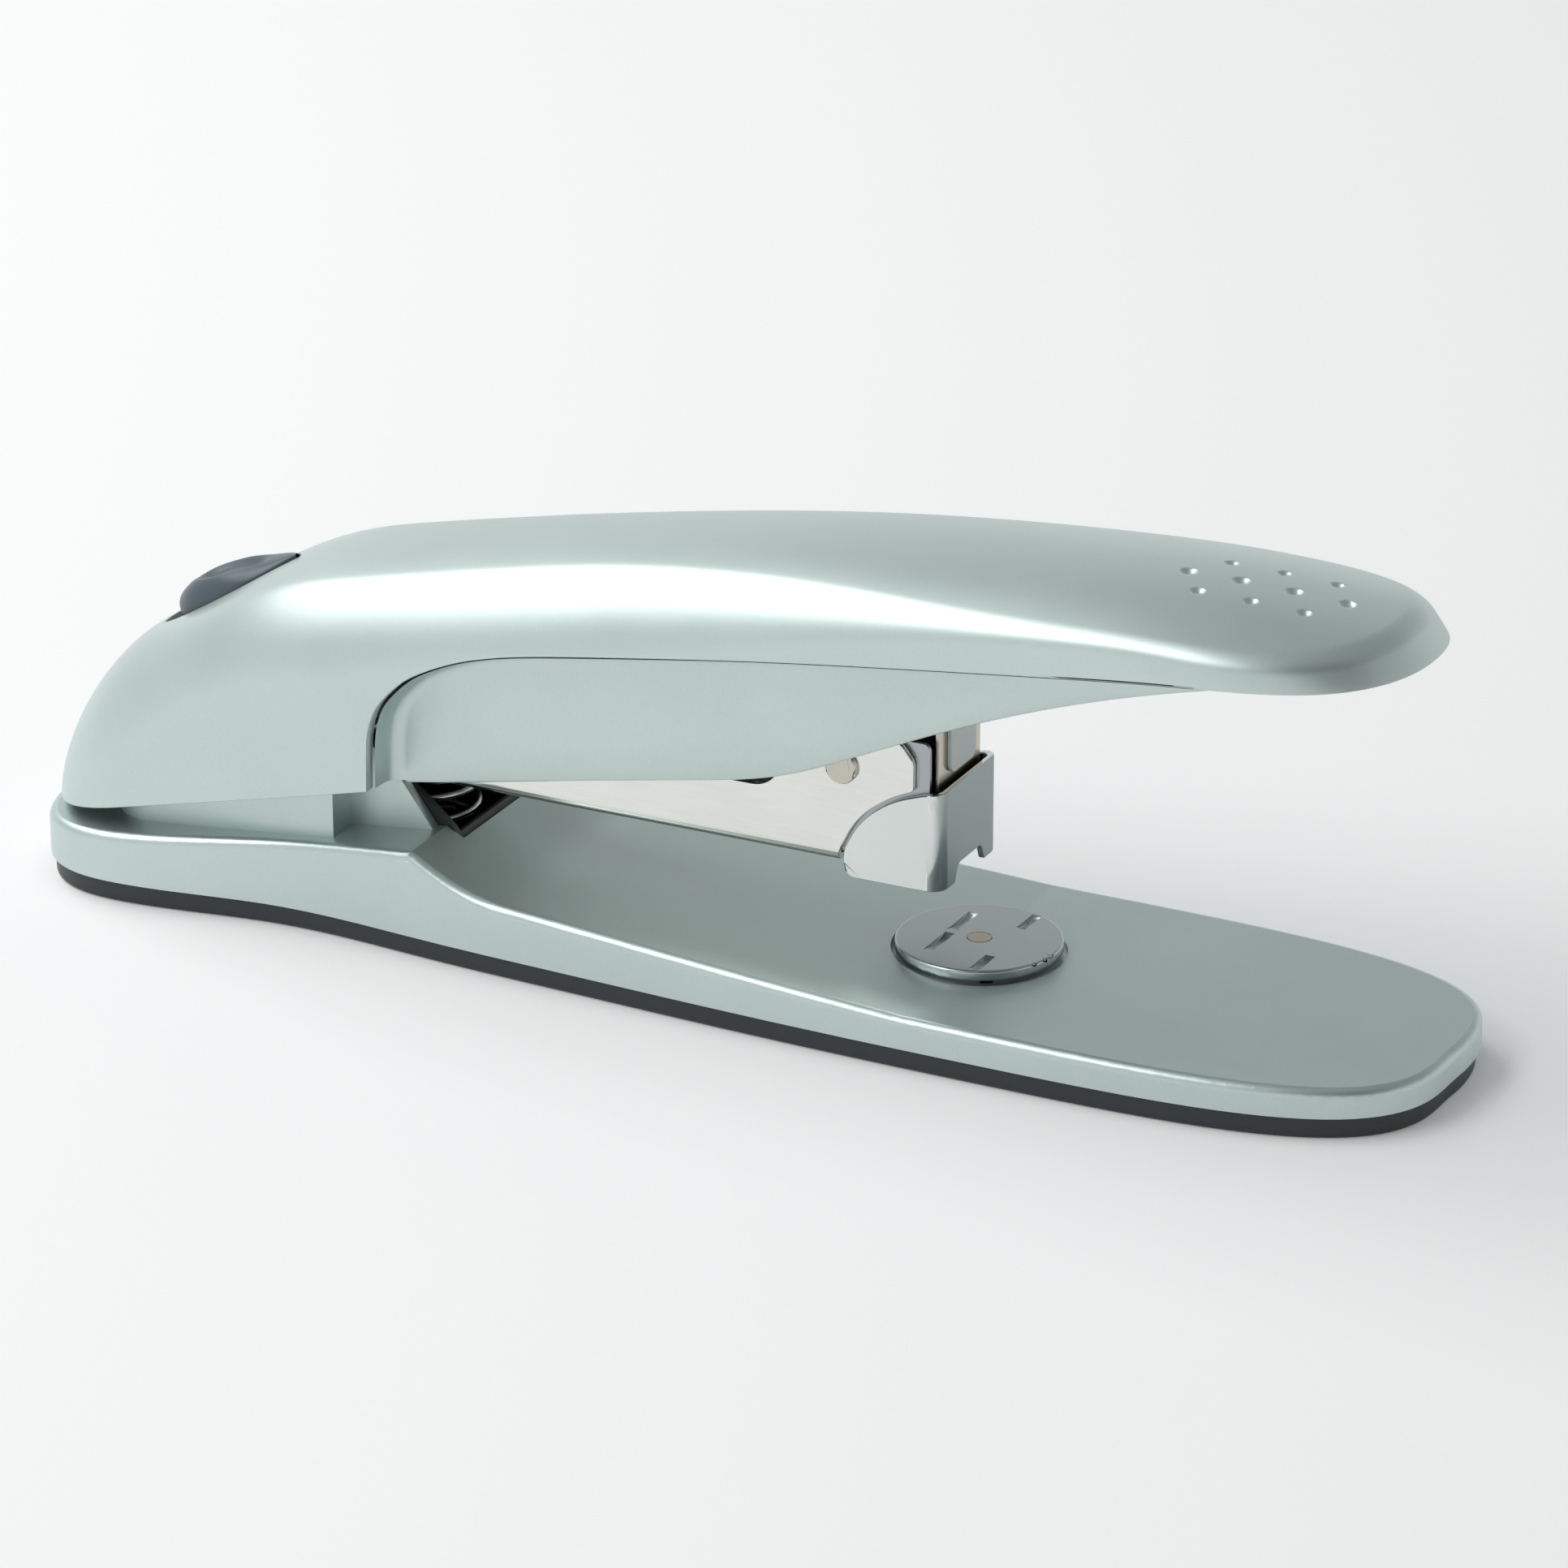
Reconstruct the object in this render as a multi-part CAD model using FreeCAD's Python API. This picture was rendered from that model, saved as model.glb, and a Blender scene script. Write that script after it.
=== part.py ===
import FreeCAD, Part
import math
import os

# A desktop stapler whose staple drawer is released by a sliding button on top.
# Millimetres. +X points to the nose, +Z is up, and Y = 0 is the plane of symmetry.
# The origin is the centre of the base, on the surface that the stapler stands on.

V = FreeCAD.Vector

# ---- driving dimensions ----

# base
base_length = 190.0
base_half_width = 23.1        # at the widest place, level with the anvil
waist_half_width = 18.6       # at the narrow place, in front of the pivot
rear_half_width = 21.2
front_round = 51.0            # length of the rounded front end
rear_round = 16.0             # length of the rounded rear end
waist_x = -58.0
base_wall = 2.0
sole_height = 2.6
sole_inset = 0.6
shadow_gap = 0.3              # open line between the sole and the base cover
ledge_rear_z = 8.1            # height of the base cover at the rear end
ledge_front_z = 14.1          # and at the front edge of the raised ledge
ledge_front_x = -37.2
deck_rear_z = 9.7             # height where the ledge's hollow meets the deck
deck_rear_x = -24.0
deck_front_z = 6.5
deck_edge_round = 1.1

# steel sheet and fits
sheet = 0.8
bracket_sheet = 1.2
slide_gap = 0.1               # between flat parts that slide on each other
fit_gap = 0.05                # radial clearance of a pin in its holes
side_gap = 0.3                # between parts that pass each other

# pivot
pivot_x = -72.0
pivot_z = 22.0
pin_radius = 2.5
pin_groove_depth = 0.4
pin_overhang = 1.6            # how far each end of the pin stands out of the bracket
clip_thickness = 0.7

# tower of the base cover
tower_pin_gap = 1.4           # between the end of the pivot pin and the tower's wall
tower_rear_x = -84.5
tower_corner = 8.0
tower_step_x = -50.0
tower_wall = 2.0
tower_top_z = 23.5
tower_foot_x = -37.6          # foot of the slanted front edge
tower_foot_z = 12.8
tower_lean = 0.73             # how far the front edge goes back for each unit of height

# steel plate inside the base
plate_rear_x = -78.0
plate_front_x = 45.0
plate_half_width = 12.0
plate_thickness = 1.5

# screws
screw_radius = 1.25
screw_head_radius = 2.9
boss_radius = 3.0

# anvil
anvil_x = 31.8
anvil_radius = 10.4
anvil_thickness = 1.3
anvil_top_z = 8.6
groove_width = 1.3
groove_depth = 0.55
rivet_radius = 1.5
rivet_foot_radius = 3.0
washer_thickness = 0.9

# magazine
magazine_bottom_z = 18.7
magazine_wall_top_z = 27.0
magazine_rear_x = -77.3
magazine_floor_front_x = 16.3
tab_front_x = 26.5
tab_top_z = 36.0
tab_rivet_x = 17.0
tab_rivet_z = 31.5
tab_rivet_radius = 1.2
bridge_length = 16.0

# springs
return_spring_x = -44.0
return_spring_radius = 5.5
lever_spring_x = -12.0
lever_spring_radius = 3.8
spring_wire_radius = 0.5
spring_pitch = 2.9
pusher_spring_radius = 1.85
button_spring_radius = 1.6

# spring box
box_front_x = -34.9
box_seat_z = 9.0              # where the return spring stands
box_top_z = 19.0
box_lip_z = 14.0

# drawer
drawer_floor_gap = 0.1
drawer_sheet = 0.6
drawer_rear_x = -62.0
cheek_front_x = 28.3
cheek_rear_x = 14.0
cheek_top_z = 36.0
crown_width = 12.9            # outside width of a staple's crown
leg_length = 6.0
staple_gap = 0.15             # between a staple and the drawer's wall
staple_wire = 0.75            # from the outside of a staple's leg to the core
nose_ear = 1.13               # thickness of the nose plate's ears
nose_front_x = 30.4
nose_bottom_z = 17.2
nose_top_z = 30.1
rod_radius = 1.2

# driver
blade_x = 28.4
blade_thickness = 0.5
blade_side_gap = 0.55         # the blade is narrower than half a staple by this
blade_bottom_z = 26.2
tongue_bottom_z = 31.0
tongue_half_width = 3.6

# latch
latch_x = -65.0
latch_z = 28.0
latch_pin_radius = 1.0
latch_half_width = 3.0

# lever
cover_wall = 1.8
cover_rear_half_width = 19.5
cover_half_width = 18.5
cover_tip_x = 90.0
cover_round = 26.0            # length of the rounded front end of the cover
cover_crown = 1.2             # rise of the top between its shoulders
panel_half_width = 13.5
panel_wall = 2.0
panel_front_x = 68.0
frame_web_z = 46.5            # underside of the frame's web above the driver blade
frame_slope = 0.1655
frame_rear_x = -46.0
frame_front_x = 36.0

# button, in the sloping plane of the cover's rear top
button_x = -72.2
button_z = 37.1
button_slope = 31.4           # degrees
slot_half_length = 10.95
slot_half_width = 6.0
button_gap = 0.5
button_travel = 2.2
button_height = 3.5

# ---- values that follow from them ----

tip_x = base_length / 2
base_cover_bottom = sole_height + shadow_gap
plate_top_z = base_cover_bottom + plate_thickness
drawer_inner = crown_width / 2 + staple_gap
drawer_outer = drawer_inner + drawer_sheet
magazine_inner = drawer_outer + slide_gap
magazine_half_width = magazine_inner + sheet
magazine_floor_z = magazine_bottom_z + sheet
frame_inner = magazine_half_width + side_gap
frame_outer = frame_inner + sheet
bracket_inner = frame_outer + side_gap
bracket_outer = bracket_inner + bracket_sheet
tower_inner_front = frame_outer + side_gap
tower_front_half_width = tower_inner_front + 1.5
pin_half_length = bracket_outer + pin_overhang
tower_half_width = pin_half_length + tower_pin_gap + tower_wall
drawer_bottom_z = magazine_floor_z + drawer_floor_gap
drawer_floor_z = drawer_bottom_z + drawer_sheet
core_half_width = crown_width / 2 - staple_wire
nose_half_width = drawer_outer + nose_ear
blade_half_width = crown_width / 2 - blade_side_gap
core_top_z = drawer_floor_z + leg_length - 1.0
drawer_wall_top_z = core_top_z + 0.4
pusher_half_width = drawer_inner - 0.2
rod_z = drawer_floor_z + 2.4
washer_floor_z = anvil_top_z - anvil_thickness - washer_thickness
screw_head_z = 1.6            # where the screw heads meet the sole
slope_cos = math.cos(math.radians(button_slope))
slope_sin = math.sin(math.radians(button_slope))


# ---- small helpers ----

def save(shape, name):
    """Write one piece, or one group of like pieces, to its own file."""
    shape = shape.removeSplitter()
    solids = shape.Solids
    out = solids[0] if len(solids) == 1 else Part.makeCompound(solids)
    if not out.isValid():
        print("NOT VALID", name)
    out.exportStep("parts/" + name + ".step")
    print(name, len(solids), round(sum(solid.Volume for solid in solids), 1))


def block(x0, x1, half_width, z0, z1):
    """A box that is centred on the plane of symmetry."""
    return Part.makeBox(x1 - x0, 2 * half_width, z1 - z0, V(x0, -half_width, z0))


def both_sides(x0, x1, y0, y1, z0, z1):
    """The same box on the left and on the right."""
    left = Part.makeBox(x1 - x0, y1 - y0, z1 - z0, V(x0, y0, z0))
    return [left, left.mirror(V(0, 0, 0), V(0, 1, 0))]


def disc(radius, x, z0, z1, y=0.0):
    return Part.makeCylinder(radius, z1 - z0, V(x, y, z0))


def cross_pin(radius, x, z, half_length):
    """A round bar along Y."""
    return Part.makeCylinder(radius, 2 * half_length, V(x, -half_length, z), V(0, 1, 0))


def side_bars(radius, x, z, y0, y1):
    """Two short round bars along Y, on the left and on the right."""
    left = Part.makeCylinder(radius, y1 - y0, V(x, y0, z), V(0, 1, 0))
    return [left, left.mirror(V(0, 0, 0), V(0, 1, 0))]


def rounded_wire(corners):
    """A closed wire in XZ through corners (x, z, radius), each rounded with its radius."""
    cuts = []
    count = len(corners)
    for i in range(count):
        x, z, radius = corners[i]
        here = V(x, 0, z)
        before = V(corners[i - 1][0], 0, corners[i - 1][1])
        after = V(corners[(i + 1) % count][0], 0, corners[(i + 1) % count][1])
        if radius == 0:
            cuts.append((here, None, here))
            continue
        to_before = (before - here).normalize()
        to_after = (after - here).normalize()
        half_angle = to_before.getAngle(to_after) / 2
        reach = radius / math.tan(half_angle)
        middle = (to_before + to_after).normalize()
        centre = here + middle * (radius / math.sin(half_angle))
        cuts.append((here + to_before * reach, centre - middle * radius, here + to_after * reach))
    edges = []
    for i in range(count):
        start, through, end = cuts[i]
        if through is not None:
            edges.append(Part.Arc(start, through, end).toShape())
        following = cuts[(i + 1) % count][0]
        if end.distanceToPoint(following) > 1e-6:
            edges.append(Part.LineSegment(end, following).toShape())
    return Part.Wire(edges)


def side_prism(wire, y0, y1):
    """The solid that a closed wire in XZ sweeps from y0 to y1."""
    face = Part.Face(wire)
    face.translate(V(0, y0, 0))
    return face.extrude(V(0, y1 - y0, 0))


def side_plate(corners, y0, y1):
    return side_prism(rounded_wire(corners), y0, y1)


def side_plates(corners, y0, y1):
    left = side_plate(corners, y0, y1)
    return [left, left.mirror(V(0, 0, 0), V(0, 1, 0))]


def curve(points):
    """A smooth edge in XZ through the points."""
    spline = Part.BSplineCurve()
    spline.interpolate([V(x, 0, z) for x, z in points])
    return spline.toShape()


def line(start, end):
    return Part.LineSegment(V(start[0], 0, start[1]), V(end[0], 0, end[1])).toShape()


def plan_prism(points, z0, z1):
    """The solid under a smooth closed outline, given by its points with y above zero."""
    mirrored = [(x, -y) for x, y in reversed(points) if y > 0]
    spline = Part.BSplineCurve()
    spline.interpolate([V(x, y, z0) for x, y in points + mirrored], PeriodicFlag=True)
    return Part.Face(Part.Wire([spline.toShape()])).extrude(V(0, 0, z1 - z0))


def round_end(centre_x, length, half_width, exponent, steps):
    """Points of a superellipse's quarter, from its tip on the axis to its full width."""
    points = []
    for i in range(steps + 1):
        angle = math.radians(90.0 * i / steps)
        along = math.cos(angle) ** (2 / exponent) if i < steps else 0.0
        across = math.sin(angle) ** (2 / exponent) if i > 0 else 0.0
        points.append((centre_x + length * along, half_width * across))
    return points


def coil(radius, wire_radius, length, pitch, base, axis):
    """An open coil spring of round wire that starts at base and goes along axis."""
    rise = length - 2 * wire_radius
    helix = Part.makeHelix(pitch, rise, radius)
    circle = Part.Circle(V(radius, 0, 0), V(0, 1, 0), wire_radius)
    spring = Part.Wire(helix.Edges).makePipeShell([Part.Wire([circle.toShape()])], True, True)
    spring.translate(V(0, 0, wire_radius))
    placement = FreeCAD.Placement(V(*base), FreeCAD.Rotation(V(0, 0, 1), V(*axis)))
    spring.Placement = placement * spring.Placement
    return spring


def on_slope(along, across, above):
    """A point given in the plane of the button: along the slope, across, above the surface."""
    return V(button_x + along * slope_cos - above * slope_sin, across,
             button_z + along * slope_sin + above * slope_cos)


def slope_block(along0, along1, half_width, above0, above1, corner=0.0):
    """A box in the plane of the button, with its upright edges rounded."""
    box = Part.makeBox(along1 - along0, 2 * half_width, above1 - above0, V(along0, -half_width, above0))
    if corner > 0:
        upright = [e for e in box.Edges if abs(e.Vertexes[0].Z - e.Vertexes[-1].Z) > 0.01]
        box = box.makeFillet(corner, upright)
    return to_slope(box)


def to_slope(shape):
    placement = FreeCAD.Placement(V(button_x, 0, button_z), FreeCAD.Rotation(V(0, 1, 0), -button_slope))
    shape.Placement = placement * shape.Placement
    return shape


# ---- base ----

def base_outline(inset):
    front_x = tip_x - front_round
    rear_x = -tip_x + rear_round
    points = round_end(front_x, front_round - inset, base_half_width - inset, 3.26, 8)
    for share in (0.8, 0.6, 0.4, 0.2):
        x = waist_x + 3 + (front_x - waist_x - 3) * share
        widening = math.sin(math.radians(90 * share)) ** 1.15
        points.append((x, waist_half_width - inset + (base_half_width - waist_half_width) * widening))
    points.append((waist_x, waist_half_width - inset))
    rear = round_end(rear_x, inset - rear_round, rear_half_width - inset, 2.6, 5)
    return points + rear[::-1]


def deck_profile(drop):
    """The side view of the base cover, with its top lowered by drop."""
    ends = tip_x + 2
    foot = base_cover_bottom if drop == 0 else base_cover_bottom - 1
    ledge = [(-ends, ledge_rear_z - drop), ((ledge_front_x - ends) / 2, 10.6 - drop),
             (ledge_front_x, ledge_front_z - drop)]
    hollow = [ledge[-1], (ledge_front_x + 3.6, ledge_front_z - 1.8 - drop),
              (ledge_front_x + 8.2, deck_rear_z + 0.85 - drop), (deck_rear_x, deck_rear_z - drop)]
    bend = (anvil_x, deck_rear_z - 2.75 - drop)
    front = (ends, deck_front_z - drop)
    return Part.Wire([curve(ledge), curve(hollow), line(hollow[-1], bend), line(bend, front),
                      line(front, (ends, foot)), line((ends, foot), (-ends, foot)),
                      line((-ends, foot), ledge[0])])


def deck_solid(inset, drop):
    profile = side_prism(deck_profile(drop), -40, 40)
    return profile.common(plan_prism(base_outline(inset), 0, 40))


def tower_solid(grow, top_z):
    """The tower's wide rear part, grown by grow on its sides and its ends."""
    half_width = tower_half_width + grow
    wide = Part.makeBox(tower_step_x + grow - tower_rear_x + grow, 2 * half_width, top_z - sole_height,
                        V(tower_rear_x - grow, -half_width, sole_height))
    corners = [e for e in wide.Edges if e.Vertexes[0].X < tower_rear_x - grow + 0.1
               and e.Vertexes[-1].X < tower_rear_x - grow + 0.1
               and abs(e.Vertexes[0].Z - e.Vertexes[-1].Z) > 1]
    return wide.makeFillet(tower_corner + grow, corners)


def screw_places():
    return [(-tip_x + 8.5, 0.0), (-8.0, 11.5), (-8.0, -11.5), (tip_x - 22.0, 0.0)]


def make_base_cover():
    shell = deck_solid(0, 0)
    top_edges = []
    for edge in shell.Edges:
        middle = edge.valueAt((edge.FirstParameter + edge.LastParameter) / 2)
        away = abs(middle.y) > 5 or abs(middle.x) > tip_x - 8
        if edge.BoundBox.ZMin > base_cover_bottom + 1 and away:
            top_edges.append(edge)
    shell = shell.makeFillet(deck_edge_round, top_edges)
    tower = tower_solid(0, tower_top_z)
    slant_top_x = tower_foot_x - tower_lean * (tower_top_z - tower_foot_z)
    narrow_rear_x = tower_step_x - 3
    outline = [(narrow_rear_x, sole_height + 3, 0), (narrow_rear_x, tower_top_z, 0),
               (slant_top_x, tower_top_z, 2), (tower_foot_x, tower_foot_z, 4),
               (ledge_front_x, 12, 0), (ledge_front_x, sole_height + 3, 0)]
    narrow = side_plate(outline, -tower_front_half_width, tower_front_half_width)
    shell = shell.fuse([tower, narrow])
    shell = shell.cut(deck_solid(base_wall, base_wall))
    shell = shell.cut(tower_solid(-tower_wall, tower_top_z + 1))
    passage_rear_x = tower_step_x - tower_wall - 1
    passage = block(passage_rear_x, box_front_x + 0.1, tower_inner_front, 0, tower_top_z + 1)
    shell = shell.cut(passage)
    pocket = disc(anvil_radius + 0.5, anvil_x, washer_floor_z, 12)
    shell = shell.cut(pocket)
    shell = shell.cut(disc(rivet_radius + 0.1, anvil_x, 0, 12))
    inside = deck_solid(0.5, 0.5)
    for x, y in screw_places():
        foot = disc(boss_radius, x, sole_height, 4, y)
        boss = disc(boss_radius, x, sole_height, 20, y).common(inside.fuse(foot))
        shell = shell.fuse(boss).cut(disc(screw_radius, x, 0, sole_height + 3.2, y))
    save(shell, "base_cover")


def make_sole():
    slab = plan_prism(base_outline(sole_inset), 0, sole_height)
    bottom_edges = [e for e in slab.Edges if e.BoundBox.ZMax < 0.01]
    slab = slab.makeFillet(0.6, bottom_edges)
    pad = block(plate_rear_x, plate_front_x, plate_half_width, sole_height - 0.5, base_cover_bottom)
    slab = slab.fuse(pad)
    slab = slab.cut(disc(rivet_foot_radius + 0.4, anvil_x, sole_height - 0.7, 5))
    for x in bracket_rivet_places():
        slab = slab.cut(disc(rivet_foot_radius, x, sole_height - 0.7, 5))
    for x, y in screw_places():
        slab = slab.cut(disc(screw_radius + 0.35, x, -1, 5, y))
        slab = slab.cut(disc(screw_head_radius + 0.3, x, -1, screw_head_z, y))
        slab = slab.cut(disc(boss_radius + 0.3, x, sole_height, 5, y))
    save(slab, "base_sole")


def make_base_screws():
    screws = []
    for x, y in screw_places():
        slot = block(x - boss_radius, x + boss_radius, 0.35, 0, 0.9).translate(V(0, y, 0))
        head = disc(screw_head_radius, x, 0.5, screw_head_z, y).cut(slot)
        screws.append(head.fuse(disc(screw_radius - 0.02, x, screw_head_z, sole_height + 3.0, y)))
    save(Part.makeCompound(screws), "base_screws")


def make_base_plate():
    plate = block(plate_rear_x, plate_front_x, plate_half_width, base_cover_bottom, plate_top_z)
    plate = plate.makeFillet(4, [e for e in plate.Edges if abs(e.Vertexes[0].Z - e.Vertexes[-1].Z) > 1])
    plate = plate.cut(disc(rivet_radius + 0.02, anvil_x, 0, 9))
    for x in bracket_rivet_places():
        plate = plate.cut(disc(rivet_radius + 0.02, x, 0, 9))
    for x, y in screw_places():
        plate = plate.cut(disc(boss_radius + 0.3, x, 0, 9, y))
    save(plate, "base_plate")


def bracket_rivet_places():
    return [pivot_x - 4.5, pivot_x + 8.5]


def make_bracket():
    rear_x = pivot_x - 7.5
    ear = [(rear_x, plate_top_z, 0), (rear_x, pivot_z + 5.5, 5), (pivot_x + 5.5, pivot_z + 5.5, 5),
           (pivot_x + 12.5, plate_top_z, 0)]
    body = side_plate(ear, -bracket_outer, bracket_outer)
    inside_z = plate_top_z + bracket_sheet
    body = body.cut(block(rear_x - 1, pivot_x + 14, bracket_inner, inside_z, pivot_z + 8))
    body = body.cut(cross_pin(pin_radius + fit_gap, pivot_x, pivot_z, 20))
    for x in bracket_rivet_places():
        body = body.cut(disc(rivet_radius + 0.02, x, 0, inside_z + 1))
    save(body, "pivot_bracket")
    rivets = []
    for x in bracket_rivet_places():
        shank = disc(rivet_radius, x, base_cover_bottom, inside_z)
        foot = disc(2.6, x, base_cover_bottom - 0.6, base_cover_bottom)
        head = Part.makeCone(2.8, 2.0, 1.1, V(x, 0, inside_z))
        rivets.append(shank.fuse([foot, head]))
    save(Part.makeCompound(rivets), "bracket_rivets")


def make_pivot_pin():
    pin = cross_pin(pin_radius, pivot_x, pivot_z, pin_half_length)
    pin = pin.makeChamfer(0.4, [e for e in pin.Edges if e.BoundBox.YLength < 0.01])
    groove_y = bracket_outer + 0.05
    for ring in side_bars(pin_radius + 1, pivot_x, pivot_z, groove_y, groove_y + clip_thickness + 0.1):
        core = cross_pin(pin_radius - pin_groove_depth, pivot_x, pivot_z, 20)
        pin = pin.cut(ring.cut(core))
    save(pin, "pivot_pin")
    clips = []
    clip_y = groove_y + 0.05
    for ring in side_bars(pin_radius + 1.6, pivot_x, pivot_z, clip_y, clip_y + clip_thickness):
        ring = ring.cut(cross_pin(pin_radius - pin_groove_depth, pivot_x, pivot_z, 20))
        clips.append(ring.cut(block(pivot_x - 6, pivot_x, 20, pivot_z - 1.3, pivot_z + 1.3)))
    save(Part.makeCompound(clips), "pin_clips")


def make_spring_box():
    outer = tower_inner_front - 0.1
    inner = frame_inner
    top_front_x = tower_foot_x - tower_lean * 6 - 0.3
    box = side_plate([(tower_step_x - 1, plate_top_z, 0), (tower_step_x - 1, box_top_z, 2),
                      (top_front_x, box_top_z, 2), (box_front_x - 1.5, box_lip_z, 2),
                      (box_front_x, box_lip_z - 2.1, 0.8), (box_front_x, plate_top_z, 0)], -outer, outer)
    cavity = block(tower_step_x, box_front_x - 1.4, inner, box_seat_z, 30)
    front_notch = block(box_front_x - 5, box_front_x + 1, inner, box_lip_z - 0.8, 30)
    rear_notch = block(tower_step_x - 3, tower_step_x + 1, inner, 12.0, 30)
    save(box.cut([cavity, front_notch, rear_notch]), "spring_box")
    spring = coil(return_spring_radius, spring_wire_radius, magazine_bottom_z - box_seat_z, spring_pitch,
                  (return_spring_x, 0, box_seat_z), (0, 0, 1))
    save(spring, "return_spring")


# ---- anvil ----

def trough(x, y, half_length):
    """A shallow curved groove that lies across the anvil."""
    radius = half_length ** 2 / (2 * groove_depth) + groove_depth / 2
    axis_z = anvil_top_z - groove_depth + radius
    return Part.makeCylinder(radius, groove_width, V(x - groove_width / 2, y, axis_z), V(1, 0, 0))


def make_anvil():
    bottom_z = anvil_top_z - anvil_thickness
    plate = disc(anvil_radius, anvil_x, bottom_z, anvil_top_z)
    plate = plate.makeFillet(0.35, [e for e in plate.Edges if e.BoundBox.ZMin > anvil_top_z - 0.01])
    for side in (1, -1):
        plate = plate.cut(trough(anvil_x - 3.9, side * 3.45, 3.1))
        plate = plate.cut(trough(anvil_x + 3.5, side * 6.9, 2.4))
    plate = plate.cut(disc(rivet_radius + fit_gap, anvil_x, 0, 12))
    save(plate, "anvil_disc")
    shank = disc(rivet_radius, anvil_x, base_cover_bottom, anvil_top_z)
    foot = disc(rivet_foot_radius, anvil_x, base_cover_bottom - 0.6, base_cover_bottom)
    save(shank.fuse(foot), "anvil_rivet")
    ring = disc(anvil_radius - 0.6, anvil_x, washer_floor_z, bottom_z - 0.05)
    ring = ring.cut(disc(anvil_radius - 3, anvil_x, 0, 12))
    for i in range(3):
        slot = Part.makeBox(6, 1.6, 3, V(anvil_radius - 4.0, -0.8, washer_floor_z + 0.35))
        slot.Placement = FreeCAD.Placement(V(anvil_x, 0, 0), FreeCAD.Rotation(V(0, 0, 1), 120 * i - 60))
        ring = ring.cut(slot)
    save(ring, "anvil_washer")


# ---- magazine ----

def channel(half_width, thickness, bottom_z, top_z, x0, x1, corner):
    """A U of bent sheet, open at the top, that runs along X."""
    outside = block(x0, x1, half_width, bottom_z, top_z)
    low = [e for e in outside.Edges if e.BoundBox.ZMax < bottom_z + 0.01 and e.BoundBox.XLength > 1]
    outside = outside.makeFillet(corner, low)
    inside = block(x0 - 1, x1 + 1, half_width - thickness, bottom_z + thickness, top_z + 1)
    floor_z = bottom_z + thickness
    low = [e for e in inside.Edges if e.BoundBox.ZMax < floor_z + 0.01 and e.BoundBox.XLength > 1]
    return outside.cut(inside.makeFillet(corner - thickness, low))


def nose_edge(offset):
    """The rounded rear edge of the nose plate's ears, moved back by offset."""
    return [(17.1 - offset, 20.3 + offset * 0.3, 4), (19.6 - offset, 25.1 + offset * 0.6, 12),
            (23.9 - offset * 0.6, 28.2 + offset * 0.8, 14)]


def make_magazine():
    edge = nose_edge(0.5)
    outline = [(magazine_rear_x, magazine_bottom_z, 2), (magazine_rear_x, pivot_z + 5.2, 4.5),
               (latch_x - 4, latch_z + 3.2, 3),
               (latch_x + 4, latch_z + 3.2, 3), (-54, magazine_wall_top_z, 4), (7, magazine_wall_top_z, 4),
               (12, tab_top_z, 3), (24.6, tab_top_z, 2), (tab_front_x, 33.6, 2), (tab_front_x, 29.9, 0.5),
               edge[2], edge[1], edge[0], (magazine_floor_front_x, magazine_bottom_z, 0)]
    body = channel(magazine_half_width, sheet, magazine_bottom_z, 40, -80, 30, 1.6)
    body = body.common(side_plate(outline, -12, 12))
    body = body.cut(block(-80, pivot_x + 5, magazine_inner, 18, 21))
    body = body.cut(cross_pin(pin_radius + fit_gap, pivot_x, pivot_z, 20))
    body = body.cut(cross_pin(latch_pin_radius + 0.02, latch_x, latch_z, 20))
    body = body.cut(cross_pin(tab_rivet_radius + 0.02, tab_rivet_x, tab_rivet_z, 20))
    save(body, "magazine_channel")
    rivets = []
    shanks = side_bars(tab_rivet_radius, tab_rivet_x, tab_rivet_z, magazine_inner, magazine_half_width)
    heads = side_bars(2.1, tab_rivet_x, tab_rivet_z, magazine_half_width, magazine_half_width + 0.6)
    for shank, head in zip(shanks, heads):
        rivets.append(shank.fuse(head))
    save(Part.makeCompound(rivets), "magazine_rivets")
    bridge_top_z = magazine_wall_top_z + 0.1
    bridge = block(lever_spring_x - bridge_length / 2, lever_spring_x + bridge_length / 2, magazine_inner,
                   bridge_top_z - sheet, bridge_top_z)
    save(bridge, "channel_bridge")
    spring_height = frame_z(lever_spring_x) - 0.7 - bridge_top_z
    spring = coil(lever_spring_radius, spring_wire_radius, spring_height, spring_pitch,
                  (lever_spring_x, 0, bridge_top_z), (0, 0, 1))
    save(spring, "lever_spring")
    save(cross_pin(latch_pin_radius, latch_x, latch_z, magazine_half_width), "latch_pin")


def make_latch():
    hub = cross_pin(2.3, latch_x, latch_z, 4)
    arm = block(latch_x - 1.8, latch_x + 0.4, latch_half_width, latch_z, latch_z + 6.2)
    reach = block(latch_x, latch_x + 7, latch_half_width, latch_z - 0.8, latch_z + 0.8)
    hook = block(latch_x + 5.6, latch_x + 7, latch_half_width, core_top_z - 0.8, latch_z + 0.8)
    latch = hub.fuse([arm, reach, hook])
    save(latch.cut(cross_pin(latch_pin_radius + fit_gap, latch_x, latch_z, 20)), "drawer_latch")


# ---- drawer ----

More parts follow.
